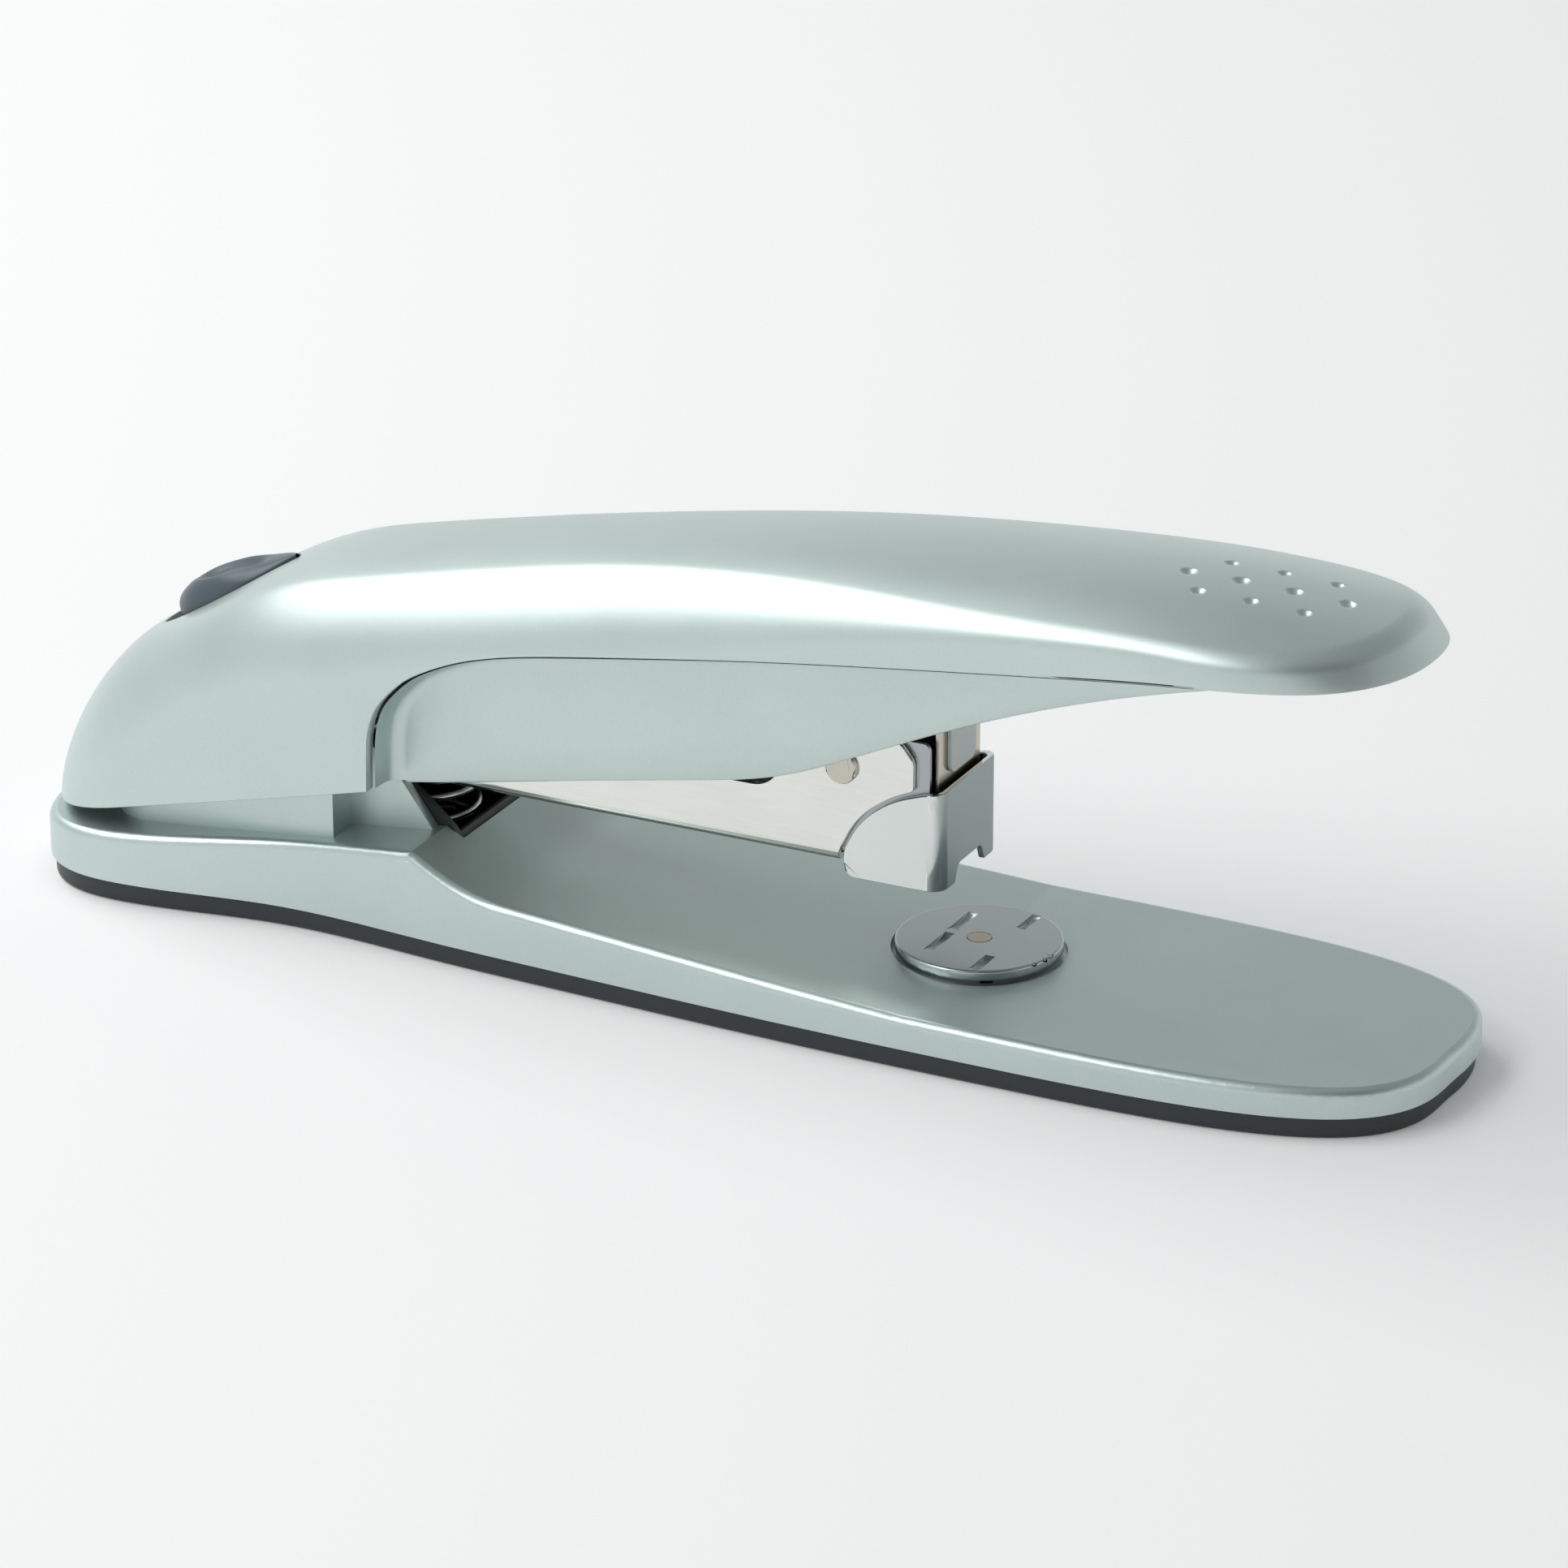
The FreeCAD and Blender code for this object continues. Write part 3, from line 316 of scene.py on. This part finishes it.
def half_shell(name, outer, inner, rim, body, finish, stands_for, open_edge):
    """A shell that is symmetric about Y = 0, from the grids of its outer and inner skins.

    Grid rows run from the rear to the nose and columns from the lower edge to the middle. rim
    holds the columns that join the skins at the lower edge; open_edge marks the rows whose last
    column is the edge of a hole."""
    rows = outer.shape[0]
    sheet_grid = np.concatenate([inner[:, ::-1], rim, outer], axis=1)
    columns = sheet_grid.shape[1]
    points = sheet_grid.reshape(-1, 3)
    faces = [strip(rows, columns)]
    hole = []
    for i in range(rows - 1):
        if open_edge[i] or open_edge[i + 1]:
            hole.append((i * columns, i * columns + columns - 1, (i + 1) * columns + columns - 1,
                         (i + 1) * columns))
    if hole:
        faces.append(np.array(hole))
    vertices, faces = mirrored(points, np.concatenate(faces))
    return mesh_piece(name, vertices, faces, body, finish, stands_for)


cover_low, cover_high = (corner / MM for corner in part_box("lever_cover"))
cover_rear = cover_low.x
lip_reach = 1.0
cover_tip = cover_high.x + lip_reach
lip_z = 54.6
crown_drop, crown_half, crown_power = 1.6, 14.0, 2.3
side_slant, nose_slant = 1.6, 3.8
cover_wall = 1.8
cover_half = 18.5
cover_rear_half = 19.5
nose_round, tail_round = 26.0, 16.0
nose_power, tail_power = 2.3, 2.4
cover_top = smooth([(-130, 2.1), (-105, 17.1), (-90, 26.3), (-81.6, 31.45), (-72.2, 37.15), (-64.5, 41.75),
                    (-57, 44.7), (-50, 46.5), (-41.5, 48.4), (-23, 52.3), (-7, 55.2), (13, 58.0), (30, 59.6),
                    (47, 60.7), (58.5, 61.1), (78.8, 60.4), (87.2, 59.7), (97, 58.6)])
dimple_pitch = 6.77
dimples = [(58.5 + i * dimple_pitch, 0.0, 1.08) for i in range(4)]
dimples += [(58.5 + (i + 0.5) * dimple_pitch, side * 5.1, 0.9) for i in range(3) for side in (1, -1)]


def top_height(x, y):
    """Height of the top: a long bow, a slight crown across, and the pressed dimples."""
    z = cover_top(x) - crown_drop * (np.abs(y) / crown_half) ** crown_power
    for dx, dy, radius in dimples:
        away = np.hypot(x - dx, y - dy)
        ball = radius * 1.35
        pit = np.sqrt(np.maximum(ball ** 2 - away ** 2, 0)) - math.sqrt(ball ** 2 - radius ** 2)
        z = z - np.where(away < radius + 0.1, np.maximum(pit, 0) * ease(away, radius + 0.08, radius - 0.10), 0)
    return z


def lower_half(x):
    """Half width of the cover at its lower edge, before the nose and the tail round it."""
    return cover_half + (cover_rear_half - cover_half) * ease(-x, 10, 60)


def side_gap(x, y, z):
    """How far a point lies outside the sides, which slant at the nose and round into both ends."""
    rise = np.clip((z - lip_z) / np.maximum(cover_top(x) - lip_z, 2.0), 0, 1.15)
    slant = ease(x, 30, 72) * rise ** 1.2
    half = lower_half(x) - side_slant * slant
    nose = np.maximum(x - (cover_tip - nose_round), 0) / (nose_round - nose_slant * slant)
    tail = np.maximum((cover_rear + tail_round) - x, 0) / tail_round
    power = np.where(x > 0, nose_power, tail_power)
    ring = (np.maximum(nose, tail) ** power + (np.abs(y) / half) ** power) ** (1 / power)
    return (ring - 1) * half


def cover_gap(x, y, z):
    """Below zero inside the cover: the top and the sides meet in a rounded shoulder."""
    shoulder = 9.0 + 6.0 * ease(-x, 68, 88) - 7.6 * ease(x, -20, 60)
    a = side_gap(x, y, z)
    b = z - top_height(x, y)
    outside = np.hypot(np.maximum(a + shoulder, 0), np.maximum(b + shoulder, 0))
    return np.minimum(np.maximum(a, b), -shoulder) + outside


def reach(origin, direction, far=40.0):
    """Points where rays from inside the cover leave it."""
    near = np.zeros(origin.shape[:-1])
    end = np.full(origin.shape[:-1], far)
    for _ in range(40):
        middle = (near + end) / 2
        p = origin + direction * middle[..., None]
        inside = cover_gap(p[..., 0], p[..., 1], p[..., 2]) < 0
        near = np.where(inside, middle, near)
        end = np.where(inside, end, middle)
    return origin + direction * end[..., None]


def flow(points, count):
    """Count points along a smooth curve through the points."""
    points = np.array(points, float)
    run = np.concatenate([[0], np.cumsum(np.linalg.norm(np.diff(points, axis=0), axis=1))])
    even = np.linspace(0, run[-1], count)
    return np.stack([smooth(np.stack([run, points[:, i]], 1))(even) for i in range(points.shape[1])], 1)


# The lower edge: the skirt, the step up in front of it, then the long edge to the nose (x, z).
skirt = [(-100, 7.4), (-43.1, 21.1)]
step_edge = flow([(-43.1, 21.1), (-43.05, 25.3), (-42.7, 29.4), (-41.6, 32.4), (-39.6, 34.9), (-37.5, 36.8),
                  (-35.0, 38.3), (-30.4, 40.3), (-25.9, 41.6), (-14.9, 43.65), (7.1, 47.1), (28.6, 49.9),
                  (49.7, 52.4), (68.3, 54.2), (78, 54.6), (85, 54.9), (92, 55.5)], 700)


def lower_edge(x):
    """Height of the cover's lower edge."""
    low = skirt[0][1] + (x - skirt[0][0]) * (skirt[1][1] - skirt[0][1]) / (skirt[1][0] - skirt[0][0])
    return np.where(x < skirt[1][0], low, np.interp(x, np.maximum.accumulate(step_edge[:, 0]), step_edge[:, 1]))


def stations(parts):
    """Numbers from the first part's start on: each part gives its end and how many steps lead to it."""
    values = [parts[0]]
    for end, steps in parts[1:]:
        values += list(np.linspace(values[-1], end, steps + 1)[1:])
    return np.array(values)


# The rows of points across the cover stand on an outline that lies inset from its lower edge.
inset = 5.2
nose_start, tail_start = cover_tip - nose_round, cover_rear + tail_round
tail_steps = cover_rear + inset + (tail_round - inset) * np.linspace(0, 1, 30) ** 2
middle_steps = stations([tail_steps[-1], (-60, 16), (-43.6, 12), (-42.5, 14), (-25.9, 44), (57, 62),
                         (nose_start, 36)])
nose_end = cover_tip - inset
nose_steps = stations([middle_steps[-1], (80.2, 86)])
nose_steps = np.concatenate([nose_steps, nose_end - (nose_end - 80.2) * np.linspace(1, 0, 26)[1:] ** 2])
slot_centre, slot_half_length, slot_half_width = -72.2, 9.4, 6.0
slot_ends = [slot_centre + end * (slot_half_length - step)
             for end in (-1, 1) for step in (0, 0.02, 0.08, 0.2, 0.42, 0.75)]
row_x = np.union1d(np.concatenate([tail_steps, middle_steps[1:], nose_steps[1:]]), slot_ends)
nose_share = np.clip((row_x - nose_start) / (nose_round - inset), 0, 1)
tail_share = np.clip((tail_start - row_x) / (tail_round - inset), 0, 1)
narrow = (1 - nose_share ** nose_power) ** (1 / nose_power) * (1 - tail_share ** tail_power) ** (1 / tail_power)
outer_x = np.where(nose_share > 0, nose_start + nose_round * nose_share,
                   np.where(tail_share > 0, tail_start - tail_round * tail_share, row_x))
outer_y = lower_half(row_x) * narrow
inner_y = (lower_half(row_x) - inset) * narrow
edge_z = lower_edge(outer_x)
inner_z = np.maximum(cover_top(row_x) - inset - 3.0, edge_z + 0.15)

slot_share = np.clip(1 - np.abs((row_x - slot_centre) / slot_half_length) ** 3.2, 0, 1)
slot_edge = slot_half_width * slot_share ** (0.36 + 0.7 * ease(row_x, slot_centre, slot_centre + 8))
spot = np.stack([row_x, inner_y, inner_z], 1)
away = np.stack([outer_x - row_x, outer_y - inner_y, np.zeros_like(row_x)], 1)
away /= np.maximum(np.linalg.norm(away, axis=1, keepdims=True), 1e-9)
wall_rows = 12
wall_share = np.linspace(0, 1, wall_rows + 1)[:-1]
wall_z = edge_z[:, None] + 0.3 + (inner_z - edge_z - 0.3)[:, None] * wall_share
wall_start = np.repeat(spot[:, None], wall_rows, 1)
wall_start[..., 2] = wall_z
wall = reach(wall_start, np.repeat(away[:, None], wall_rows, 1))
turn = np.linspace(0, math.pi / 2, 26)
beam = away[:, None] * np.cos(turn)[None, :, None] + np.array([0, 0, 1.0]) * np.sin(turn)[None, :, None]
shoulder_skin = reach(np.repeat(spot[:, None], len(turn), 1), beam)
across = np.concatenate([np.linspace(1, 0.52, 14)[1:], np.linspace(0.52, 0, 42)[1:]])
cap_y = slot_edge[:, None] + np.maximum(inner_y - slot_edge, 0)[:, None] * across
cap_x = np.repeat(row_x[:, None], len(across), 1)
cap_start = np.stack([cap_x, cap_y, cover_top(cap_x) - 9.0], 2)
cap = reach(cap_start, np.broadcast_to(np.array([0, 0, 1.0]), cap_start.shape))
cover_outer = np.concatenate([wall, shoulder_skin, cap], axis=1)


def cover_slope(points):
    """Outward direction of the cover's surface at the points."""
    step = 0.05
    x, y, z = points[..., 0], points[..., 1], points[..., 2]
    slope = np.stack([cover_gap(x + step, y, z) - cover_gap(x - step, y, z),
                      cover_gap(x, y + step, z) - cover_gap(x, y - step, z),
                      cover_gap(x, y, z + step) - cover_gap(x, y, z - step)], -1)
    return slope / np.maximum(np.linalg.norm(slope, axis=-1, keepdims=True), 1e-9)


cover_inner = cover_outer - cover_slope(cover_outer) * cover_wall
cover_inner[..., 1] = np.maximum(cover_inner[..., 1], 0)
low_outer, low_inner = cover_outer[:, 0], cover_inner[:, 0].copy()
low_inner[:, 2] = low_outer[:, 2]
cover_inner[:, 0, 2] = low_outer[:, 2]
rim_columns = []
for share, drop in ((0.98, 0.2), (0.88, 0.3), (0.12, 0.3), (0.02, 0.2)):
    point = low_outer + (low_inner - low_outer) * share
    point[:, 2] = low_outer[:, 2] - drop
    rim_columns.append(point)
cover_rim = np.stack(rim_columns, 1)
half_shell("lever_cover_shell", cover_outer, cover_inner, cover_rim, "lever", silver_paint("silver_cover"),
           ["lever_cover"], slot_edge > 0)


# ---- Side panel ----
# The satin silver liner under the cover, moulded in one piece. It follows the cover's lower edge
# on both sides of the mechanism, and turns out to meet the skirt at its rear.
panel_half = 13.5
panel_wall = 2.0
panel_front = 72.5
panel_round = 7.0
panel_low = smooth([(-44, 20.2), (-42, 20.5), (-18, 25), (1, 28.6), (11, 31), (21, 35.2), (39, 43.2),
                    (58, 49.7), (66, 51.8), (74, 53.6)])
hem = step_edge[step_edge[:, 0] <= panel_front]
hem_spots = np.unique(np.round(np.concatenate([np.linspace(0, 150, 60), np.linspace(150, len(hem) - 1, 90)])))
hem = hem[hem_spots.astype(int)]
hem_way = np.gradient(hem, axis=0)
hem_way /= np.linalg.norm(hem_way, axis=1, keepdims=True)
hem_in = np.stack([hem_way[:, 1], -hem_way[:, 0]], 1)
fillet = 2.1
hem_gap = 0.35
bend_angles = np.linspace(0, math.pi / 2, 9)
flange = [(4.1, hem_gap), (3.0, hem_gap)]
flange += [(fillet * (1 - math.sin(t)), 0.4 + fillet * (1 - math.cos(t))) for t in bend_angles]
shrink = 1 - 0.8 * ease(hem[:, 0], 30, 62)
front_share = np.clip((hem[:, 0] - panel_front + panel_round) / panel_round, 0, 0.999)
panel_side = panel_half - panel_round + panel_round * np.sqrt(1 - front_share ** 2)
panel_columns = []
for out, deep in flange:
    below = hem_gap + (deep - hem_gap) * shrink
    panel_columns.append(np.stack([hem[:, 0] + hem_in[:, 0] * below, panel_side + out,
                                   hem[:, 1] + hem_in[:, 1] * below], 1))
panel_top = panel_columns[-1]
foot_x = np.maximum(panel_top[:, 0], panel_top[0, 0] + 6 * np.linspace(0, 1, len(hem)))
foot_z = np.minimum(panel_low(foot_x), panel_top[:, 2] - 0.02)
foot_z[0] = panel_low(foot_x[0])
for share in (0.15, 0.4, 0.7):
    panel_columns.append(np.stack([panel_top[:, 0] + (foot_x - panel_top[:, 0]) * share, panel_side,
                                   panel_top[:, 2] + (foot_z + 0.4 - panel_top[:, 2]) * share], 1))
for back, lift in ((0.0, 0.40), (0.12, 0.12), (0.40, 0.0), (panel_wall - 0.40, 0.0), (panel_wall - 0.12, 0.12),
                   (panel_wall, 0.40), (panel_wall, 12.0)):
    rim_z = np.minimum(foot_z + lift, cover_top(foot_x) - 5.0)
    panel_columns.append(np.stack([foot_x, panel_side - back, rim_z], 1))
panel_grid = np.stack(panel_columns, 1)
panel_faces = strip(*panel_grid.shape[:2])
panel_end = len(panel_grid) * panel_grid.shape[1] - panel_grid.shape[1]
panel_points, panel_faces = mirrored(panel_grid.reshape(-1, 3), panel_faces)
half_count = len(panel_points) // 2
front_strip = [(panel_end + j, panel_end + j + 1, half_count + panel_end + j + 1, half_count + panel_end + j)
               for j in range(2, panel_grid.shape[1] - 1)]
panel_faces = np.concatenate([panel_faces, np.array(front_strip)])
mesh_piece("side_panel_skin", panel_points, panel_faces, "lever", silver_paint("silver_panel"),
           ["lever_side_panel"])


# ---- Release button ----
# The slate grey thumb slide behind the top, moulded in ABS. It is boat-shaped with a crescent
# scoop, stands in a slot of the cover and runs on a flange underneath.
button_origin = np.array([-72.2, 0.0, 37.1])
button_slope = math.radians(31.4)
button_rear, button_front = -8.25, 10.45
button_half = smooth([(-9, 5.5), (-2.5, 5.5), (1, 5.45), (5.9, 4.3), (9.2, 1.9), (10.45, 0.35)])
button_rise = smooth([(-8.25, 1.0), (-7.6, 1.85), (-6.0, 2.75), (-4.0, 3.25), (-1.5, 3.35), (0.8, 3.0),
                      (4.0, 1.9), (7.0, 1.05), (10.45, 0.3)])
button_round = 6.0
button_foot = -2.8


def on_slope(along, across, above):
    """Points given in the plane of the button: along the slope, across it, above it."""
    cos, sin = math.cos(button_slope), math.sin(button_slope)
    return np.stack([button_origin[0] + along * cos - above * sin, across + 0 * along,
                     button_origin[2] + along * sin + above * cos], -1)


button_along = np.concatenate([button_rear + button_round * np.linspace(0, 1, 22) ** 2,
                               np.linspace(button_rear + button_round, button_front, 46)[1:]])
rear_share = np.clip((button_rear + button_round - button_along) / button_round, 0, 0.9995)
button_wide = button_half(button_along) * (1 - rear_share ** 2.3) ** (1 / 2.3)
sweep = np.sin(np.linspace(-math.pi / 2, math.pi / 2, 45))
along_grid = np.repeat(button_along[:, None], len(sweep), 1)
across_grid = button_wide[:, None] * sweep
share_grid = np.abs(sweep)[None, :] ** 2.6
crown = button_rise(along_grid) * (1 - share_grid) ** 0.5
bowl = np.hypot((along_grid - 0.6) / 6.3, across_grid / np.maximum(0.74 * button_wide[:, None], 0.05))
crown = crown - 1.25 * ease(1 - bowl, 0.0, 0.55) * ease(along_grid, -6, -3) * ease(-along_grid, -8.5, -4)
foot_grid = np.full_like(along_grid, button_foot)
button_grid = np.concatenate([on_slope(along_grid[:, :1], across_grid[:, :1], foot_grid[:, :1]),
                              on_slope(along_grid, across_grid, crown),
                              on_slope(along_grid[:, -1:], across_grid[:, -1:], foot_grid[:, -1:])], 1)
button_columns = button_grid.shape[1]
button_faces = [tuple(face) for face in strip(len(button_along), button_columns)]
button_faces += [(i * button_columns, (i + 1) * button_columns, (i + 2) * button_columns - 1,
                  (i + 1) * button_columns - 1) for i in range(len(button_along) - 1)]
button_points = button_grid.reshape(-1, 3)
flange_box = np.array([(a, b, c) for a in (-11.9, 11) for b in (-7.0, 7.0) for c in (-3.7, -2.7)])
first = len(button_points)
button_points = np.concatenate([button_points, on_slope(*flange_box.T)])
button_faces += [tuple(first + k for k in face) for face in
                 ((0, 1, 3, 2), (4, 6, 7, 5), (0, 4, 5, 1), (2, 3, 7, 6), (0, 2, 6, 4), (1, 5, 7, 3))]


def moulded(name, colour, rough, grain=5000.0, depth=0.00002):
    """Moulded plastic with a fine spark-eroded grain and slightly uneven gloss."""
    plastic = Finish(name, Specular_IOR_Level=0.5)
    fine = plastic.noise(grain, 2.0)
    broad = plastic.noise(120.0, 3.0)
    deep = tuple(0.82 * c for c in colour)
    light = tuple(1.16 * c for c in colour)
    plastic.set(Base_Color=plastic.mix(fine * 0.5 + broad * 0.5, deep, light),
                Roughness=rough + broad * 0.12 - 0.06 + fine * 0.04)
    plastic.bump(fine, 0.25, depth)
    return plastic


button_finish = moulded("slate_button", (0.075, 0.105, 0.125), 0.34)
mesh_piece("thumb_slide", button_points, button_faces, "button", button_finish, ["release_button"], sharp=50)
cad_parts["button_push_rod"].data.materials.clear()
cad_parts["button_push_rod"].data.materials.append(button_finish.material)


# ---- Coil springs ----
# Music wire coils: under the magazine, between magazine and lever, behind the staple pusher and
# behind the button. Their end turns are closed.
def sheet_steel(name, colour, rough, grain=(0.05, 1.0, 1.0), relief=0.000004, cloud=0.10):
    """Bright steel with faint drawing lines and slightly uneven gloss."""
    steel = Finish(name, Metallic=1.0)
    lines = steel.noise(5000.0, 2.0, grain)
    cloudy = steel.noise(90.0, 3.0)
    deep = tuple(0.86 * c for c in colour)
    light = tuple(min(1.0, 1.10 * c) for c in colour)
    steel.set(Base_Color=steel.mix(lines * 0.4 + cloudy * 0.6, deep, light),
              Roughness=rough + cloudy * cloud - cloud * 0.5 + lines * 0.05)
    steel.bump(lines, 0.2, relief)
    return steel


def coil_piece(name, node, body, base, axis, radius, wire, length, turns, finish):
    """A coil spring along axis from base, in place of the node."""
    axis = np.array(axis, float)
    side = np.array([0.0, 1.0, 0.0])
    other = np.cross(axis, side)
    spots = np.linspace(0, 1, int(turns * 28))
    end_turn = 1.9 * wire / length
    closed = np.interp(spots, [0, 1 / turns, 1 - 1 / turns, 1], [0, end_turn, 1 - end_turn, 1])
    rise = wire + (length - 2 * wire) * closed
    angle = 2 * math.pi * turns * spots
    outward = np.cos(angle)[:, None] * side + np.sin(angle)[:, None] * other
    centre = np.array(base) + rise[:, None] * axis + radius * outward
    around = np.linspace(0, 2 * math.pi, 9)[:-1]
    tube = centre[:, None] + wire * (np.cos(around)[None, :, None] * outward[:, None]
                                     + np.sin(around)[None, :, None] * axis)
    tube = np.concatenate([tube, tube[:, :1]], 1)
    faces = [tuple(face) for face in strip(len(spots), 9)]
    last = (len(spots) - 1) * 9
    faces += [tuple(range(8)), tuple(last + k for k in range(7, -1, -1))]
    piece = mesh_piece(name, tube.reshape(-1, 3), faces, body, finish, [node], sharp=60)
    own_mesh(piece)


spring_wire = sheet_steel("spring_wire", (0.60, 0.60, 0.58), 0.20)
for name, node, body, along, radius, wire, turns, joint, keep in (
        ("return_coil", "return_spring", "base", 2, 5.5, 0.5, 4.2, "magazine_pivot", 0.66),
        ("lever_coil", "lever_spring", "magazine", 2, 3.8, 0.5, 5.0, "lever_pivot", 0.60),
        ("pusher_coil", "pusher_spring", "drawer", 0, 1.85, 0.28, 18.0, "pusher_slide", 0.06),
        ("button_coil", "button_spring", "lever", 0, 1.6, 0.25, 9.0, "button_slide", 0.87)):
    low, high = (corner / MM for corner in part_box(node))
    length = high[along] - low[along]
    base = [(low[i] + high[i]) / 2 for i in range(3)]
    base[along] = low[along]
    axis = [0.0, 0.0, 0.0]
    axis[along] = 1.0
    if name == "button_coil":
        base[along] = high[along]
        axis[along] = -1.0
    coil_piece(name, node, body, base, axis, radius, wire, length, turns, spring_wire)


# ---- Base ----
# The base cover is moulded in plastic and sprayed silver like the lever. Under it lies a soft
# black sole, held by four screws, and between them a steel plate carries the pivot bracket.
def dress(nodes, finish, edge=0.0):
    """Gives carried-over parts their material, and softens their edges by edge millimetres."""
    for node in nodes:
        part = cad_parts[node]
        part.data.materials.clear()
        part.data.materials.append(finish.material)
        if edge > 0:
            weld = part.modifiers.new("weld", "WELD")
            weld.merge_threshold = 0.000002
            bevel = part.modifiers.new("soft_edges", "BEVEL")
            bevel.width = edge * MM
            bevel.segments = 2
            bevel.limit_method = "ANGLE"
            bevel.angle_limit = math.radians(38)
            bevel.use_clamp_overlap = False
            bevel.harden_normals = True


dress(["base_cover"], silver_paint("silver_base", 0.98))
dress(["base_sole"], moulded("black_sole", (0.022, 0.028, 0.032), 0.42, 3500.0, 0.00003))
zinc = sheet_steel("zinc_plate", (0.55, 0.56, 0.55), 0.30, (1.0, 1.0, 1.0), cloud=0.2)
dress(["base_plate", "pivot_bracket", "bracket_rivets", "base_screws", "pin_clips"], zinc)
dress(["pivot_pin", "latch_pin", "guide_rod"],
      sheet_steel("turned_pin", (0.62, 0.62, 0.60), 0.16, (1.0, 0.05, 1.0)))


# ---- Spring box ----
# The black nylon tray in the base's tower. The return spring stands in it, and its front lip
# closes the gap between the tower and the deck.
dress(["spring_box"], moulded("black_tray", (0.012, 0.014, 0.017), 0.38))


# ---- Anvil ----
# A stamped and nickel-plated disc that turns on its rivet. It has one pair of grooves for closed
# staples and one for open pins, and rests on a slotted spring washer.
dress(["anvil_disc"],
      sheet_steel("anvil_nickel", (0.50, 0.545, 0.54), 0.27, (1.0, 1.0, 1.0), 0.000003, 0.06), 0.12)
dress(["anvil_rivet"], sheet_steel("rivet_brass_tint", (0.56, 0.50, 0.41), 0.34, (1.0, 1.0, 1.0)))
dress(["anvil_washer"], sheet_steel("washer_steel", (0.30, 0.31, 0.32), 0.35, (1.0, 1.0, 1.0)))


# ---- Magazine ----
# A channel folded from nickel-plated steel sheet. Two rivets hold its front tabs, and a bridge
# across its top carries the lever spring.
nickel = sheet_steel("bright_nickel", (0.80, 0.80, 0.765), 0.085, (0.04, 1.0, 1.0), 0.000003, 0.05)
dress(["magazine_channel", "channel_bridge"], nickel, 0.10)
dress(["magazine_rivets"], sheet_steel("tab_rivets", (0.60, 0.57, 0.50), 0.22, (1.0, 1.0, 1.0)), 0.15)
dress(["drawer_latch"], moulded("latch_acetal", (0.05, 0.05, 0.055), 0.30))


# ---- Staple drawer ----
# The inner channel that holds the staples: its cheeks, the core that the staples ride on, the
# pusher, the tail block, and the nose plate that is spot-welded round its front.
dress(["drawer_channel"], sheet_steel("drawer_steel", (0.42, 0.44, 0.46), 0.22), 0.08)
dress(["staple_core"], sheet_steel("core_steel", (0.50, 0.50, 0.49), 0.25), 0.08)
# The plate's ears are bright nickel. Its front face, facing +X, is painted much darker as painted shade for the
# dark reflection it shows, and is duller.
nose_nickel = Finish("nose_nickel", Metallic=1.0)
tumbled = nose_nickel.noise(2600.0, 2.0)
patches = nose_nickel.noise(90.0, 3.0)
facing = nose_nickel.node("ShaderNodeSeparateXYZ", {}, {0: nose_nickel.node("ShaderNodeTexCoord", output=1)})
# 0 on the ears, 1 on faces that look forward: it darkens the colour as painted shade and raises the roughness.
painted_front_shade = nose_nickel.node("ShaderNodeMapRange", {}, {"Value": facing, "From Min": 0.35, "From Max": 0.92})
ear_colour = nose_nickel.mix(patches, (0.66, 0.69, 0.67), (0.78, 0.80, 0.78))
# Painted shade: the front face's nickel is a much darker grey than the ears' nickel.
painted_shade_front_colour = nose_nickel.mix(patches, (0.27, 0.32, 0.32), (0.33, 0.38, 0.38))
nose_nickel.set(Base_Color=nose_nickel.mix(painted_front_shade, ear_colour, painted_shade_front_colour),
                Roughness=0.11 + painted_front_shade * 0.20 + patches * 0.06)
nose_nickel.bump(tumbled, 0.2, 0.000006)
dress(["nose_plate"], nose_nickel, 0.14)
dress(["drawer_tail", "staple_pusher"], moulded("nylon_black", (0.02, 0.02, 0.022), 0.35))


# ---- Driver ----
# A hardened steel blade, pale beige from tempering, with a milky nylon guide tongue in front.
dress(["driver_blade"], sheet_steel("blade_steel", (0.58, 0.53, 0.45), 0.22, (1.0, 1.0, 0.04)), 0.06)
dress(["blade_tongue"], moulded("milky_nylon", (0.52, 0.55, 0.54), 0.30), 0.10)


# ---- Lever frame ----
# The folded steel frame inside the lever, which turns on the pivot pin and is screwed to bosses
# in the cover.
dress(["lever_frame"], sheet_steel("frame_steel", (0.50, 0.51, 0.50), 0.28, (0.05, 1.0, 1.0), cloud=0.2), 0.08)
dress(["lever_screws"], sheet_steel("screw_zinc", (0.52, 0.52, 0.50), 0.25, (1.0, 1.0, 1.0)))
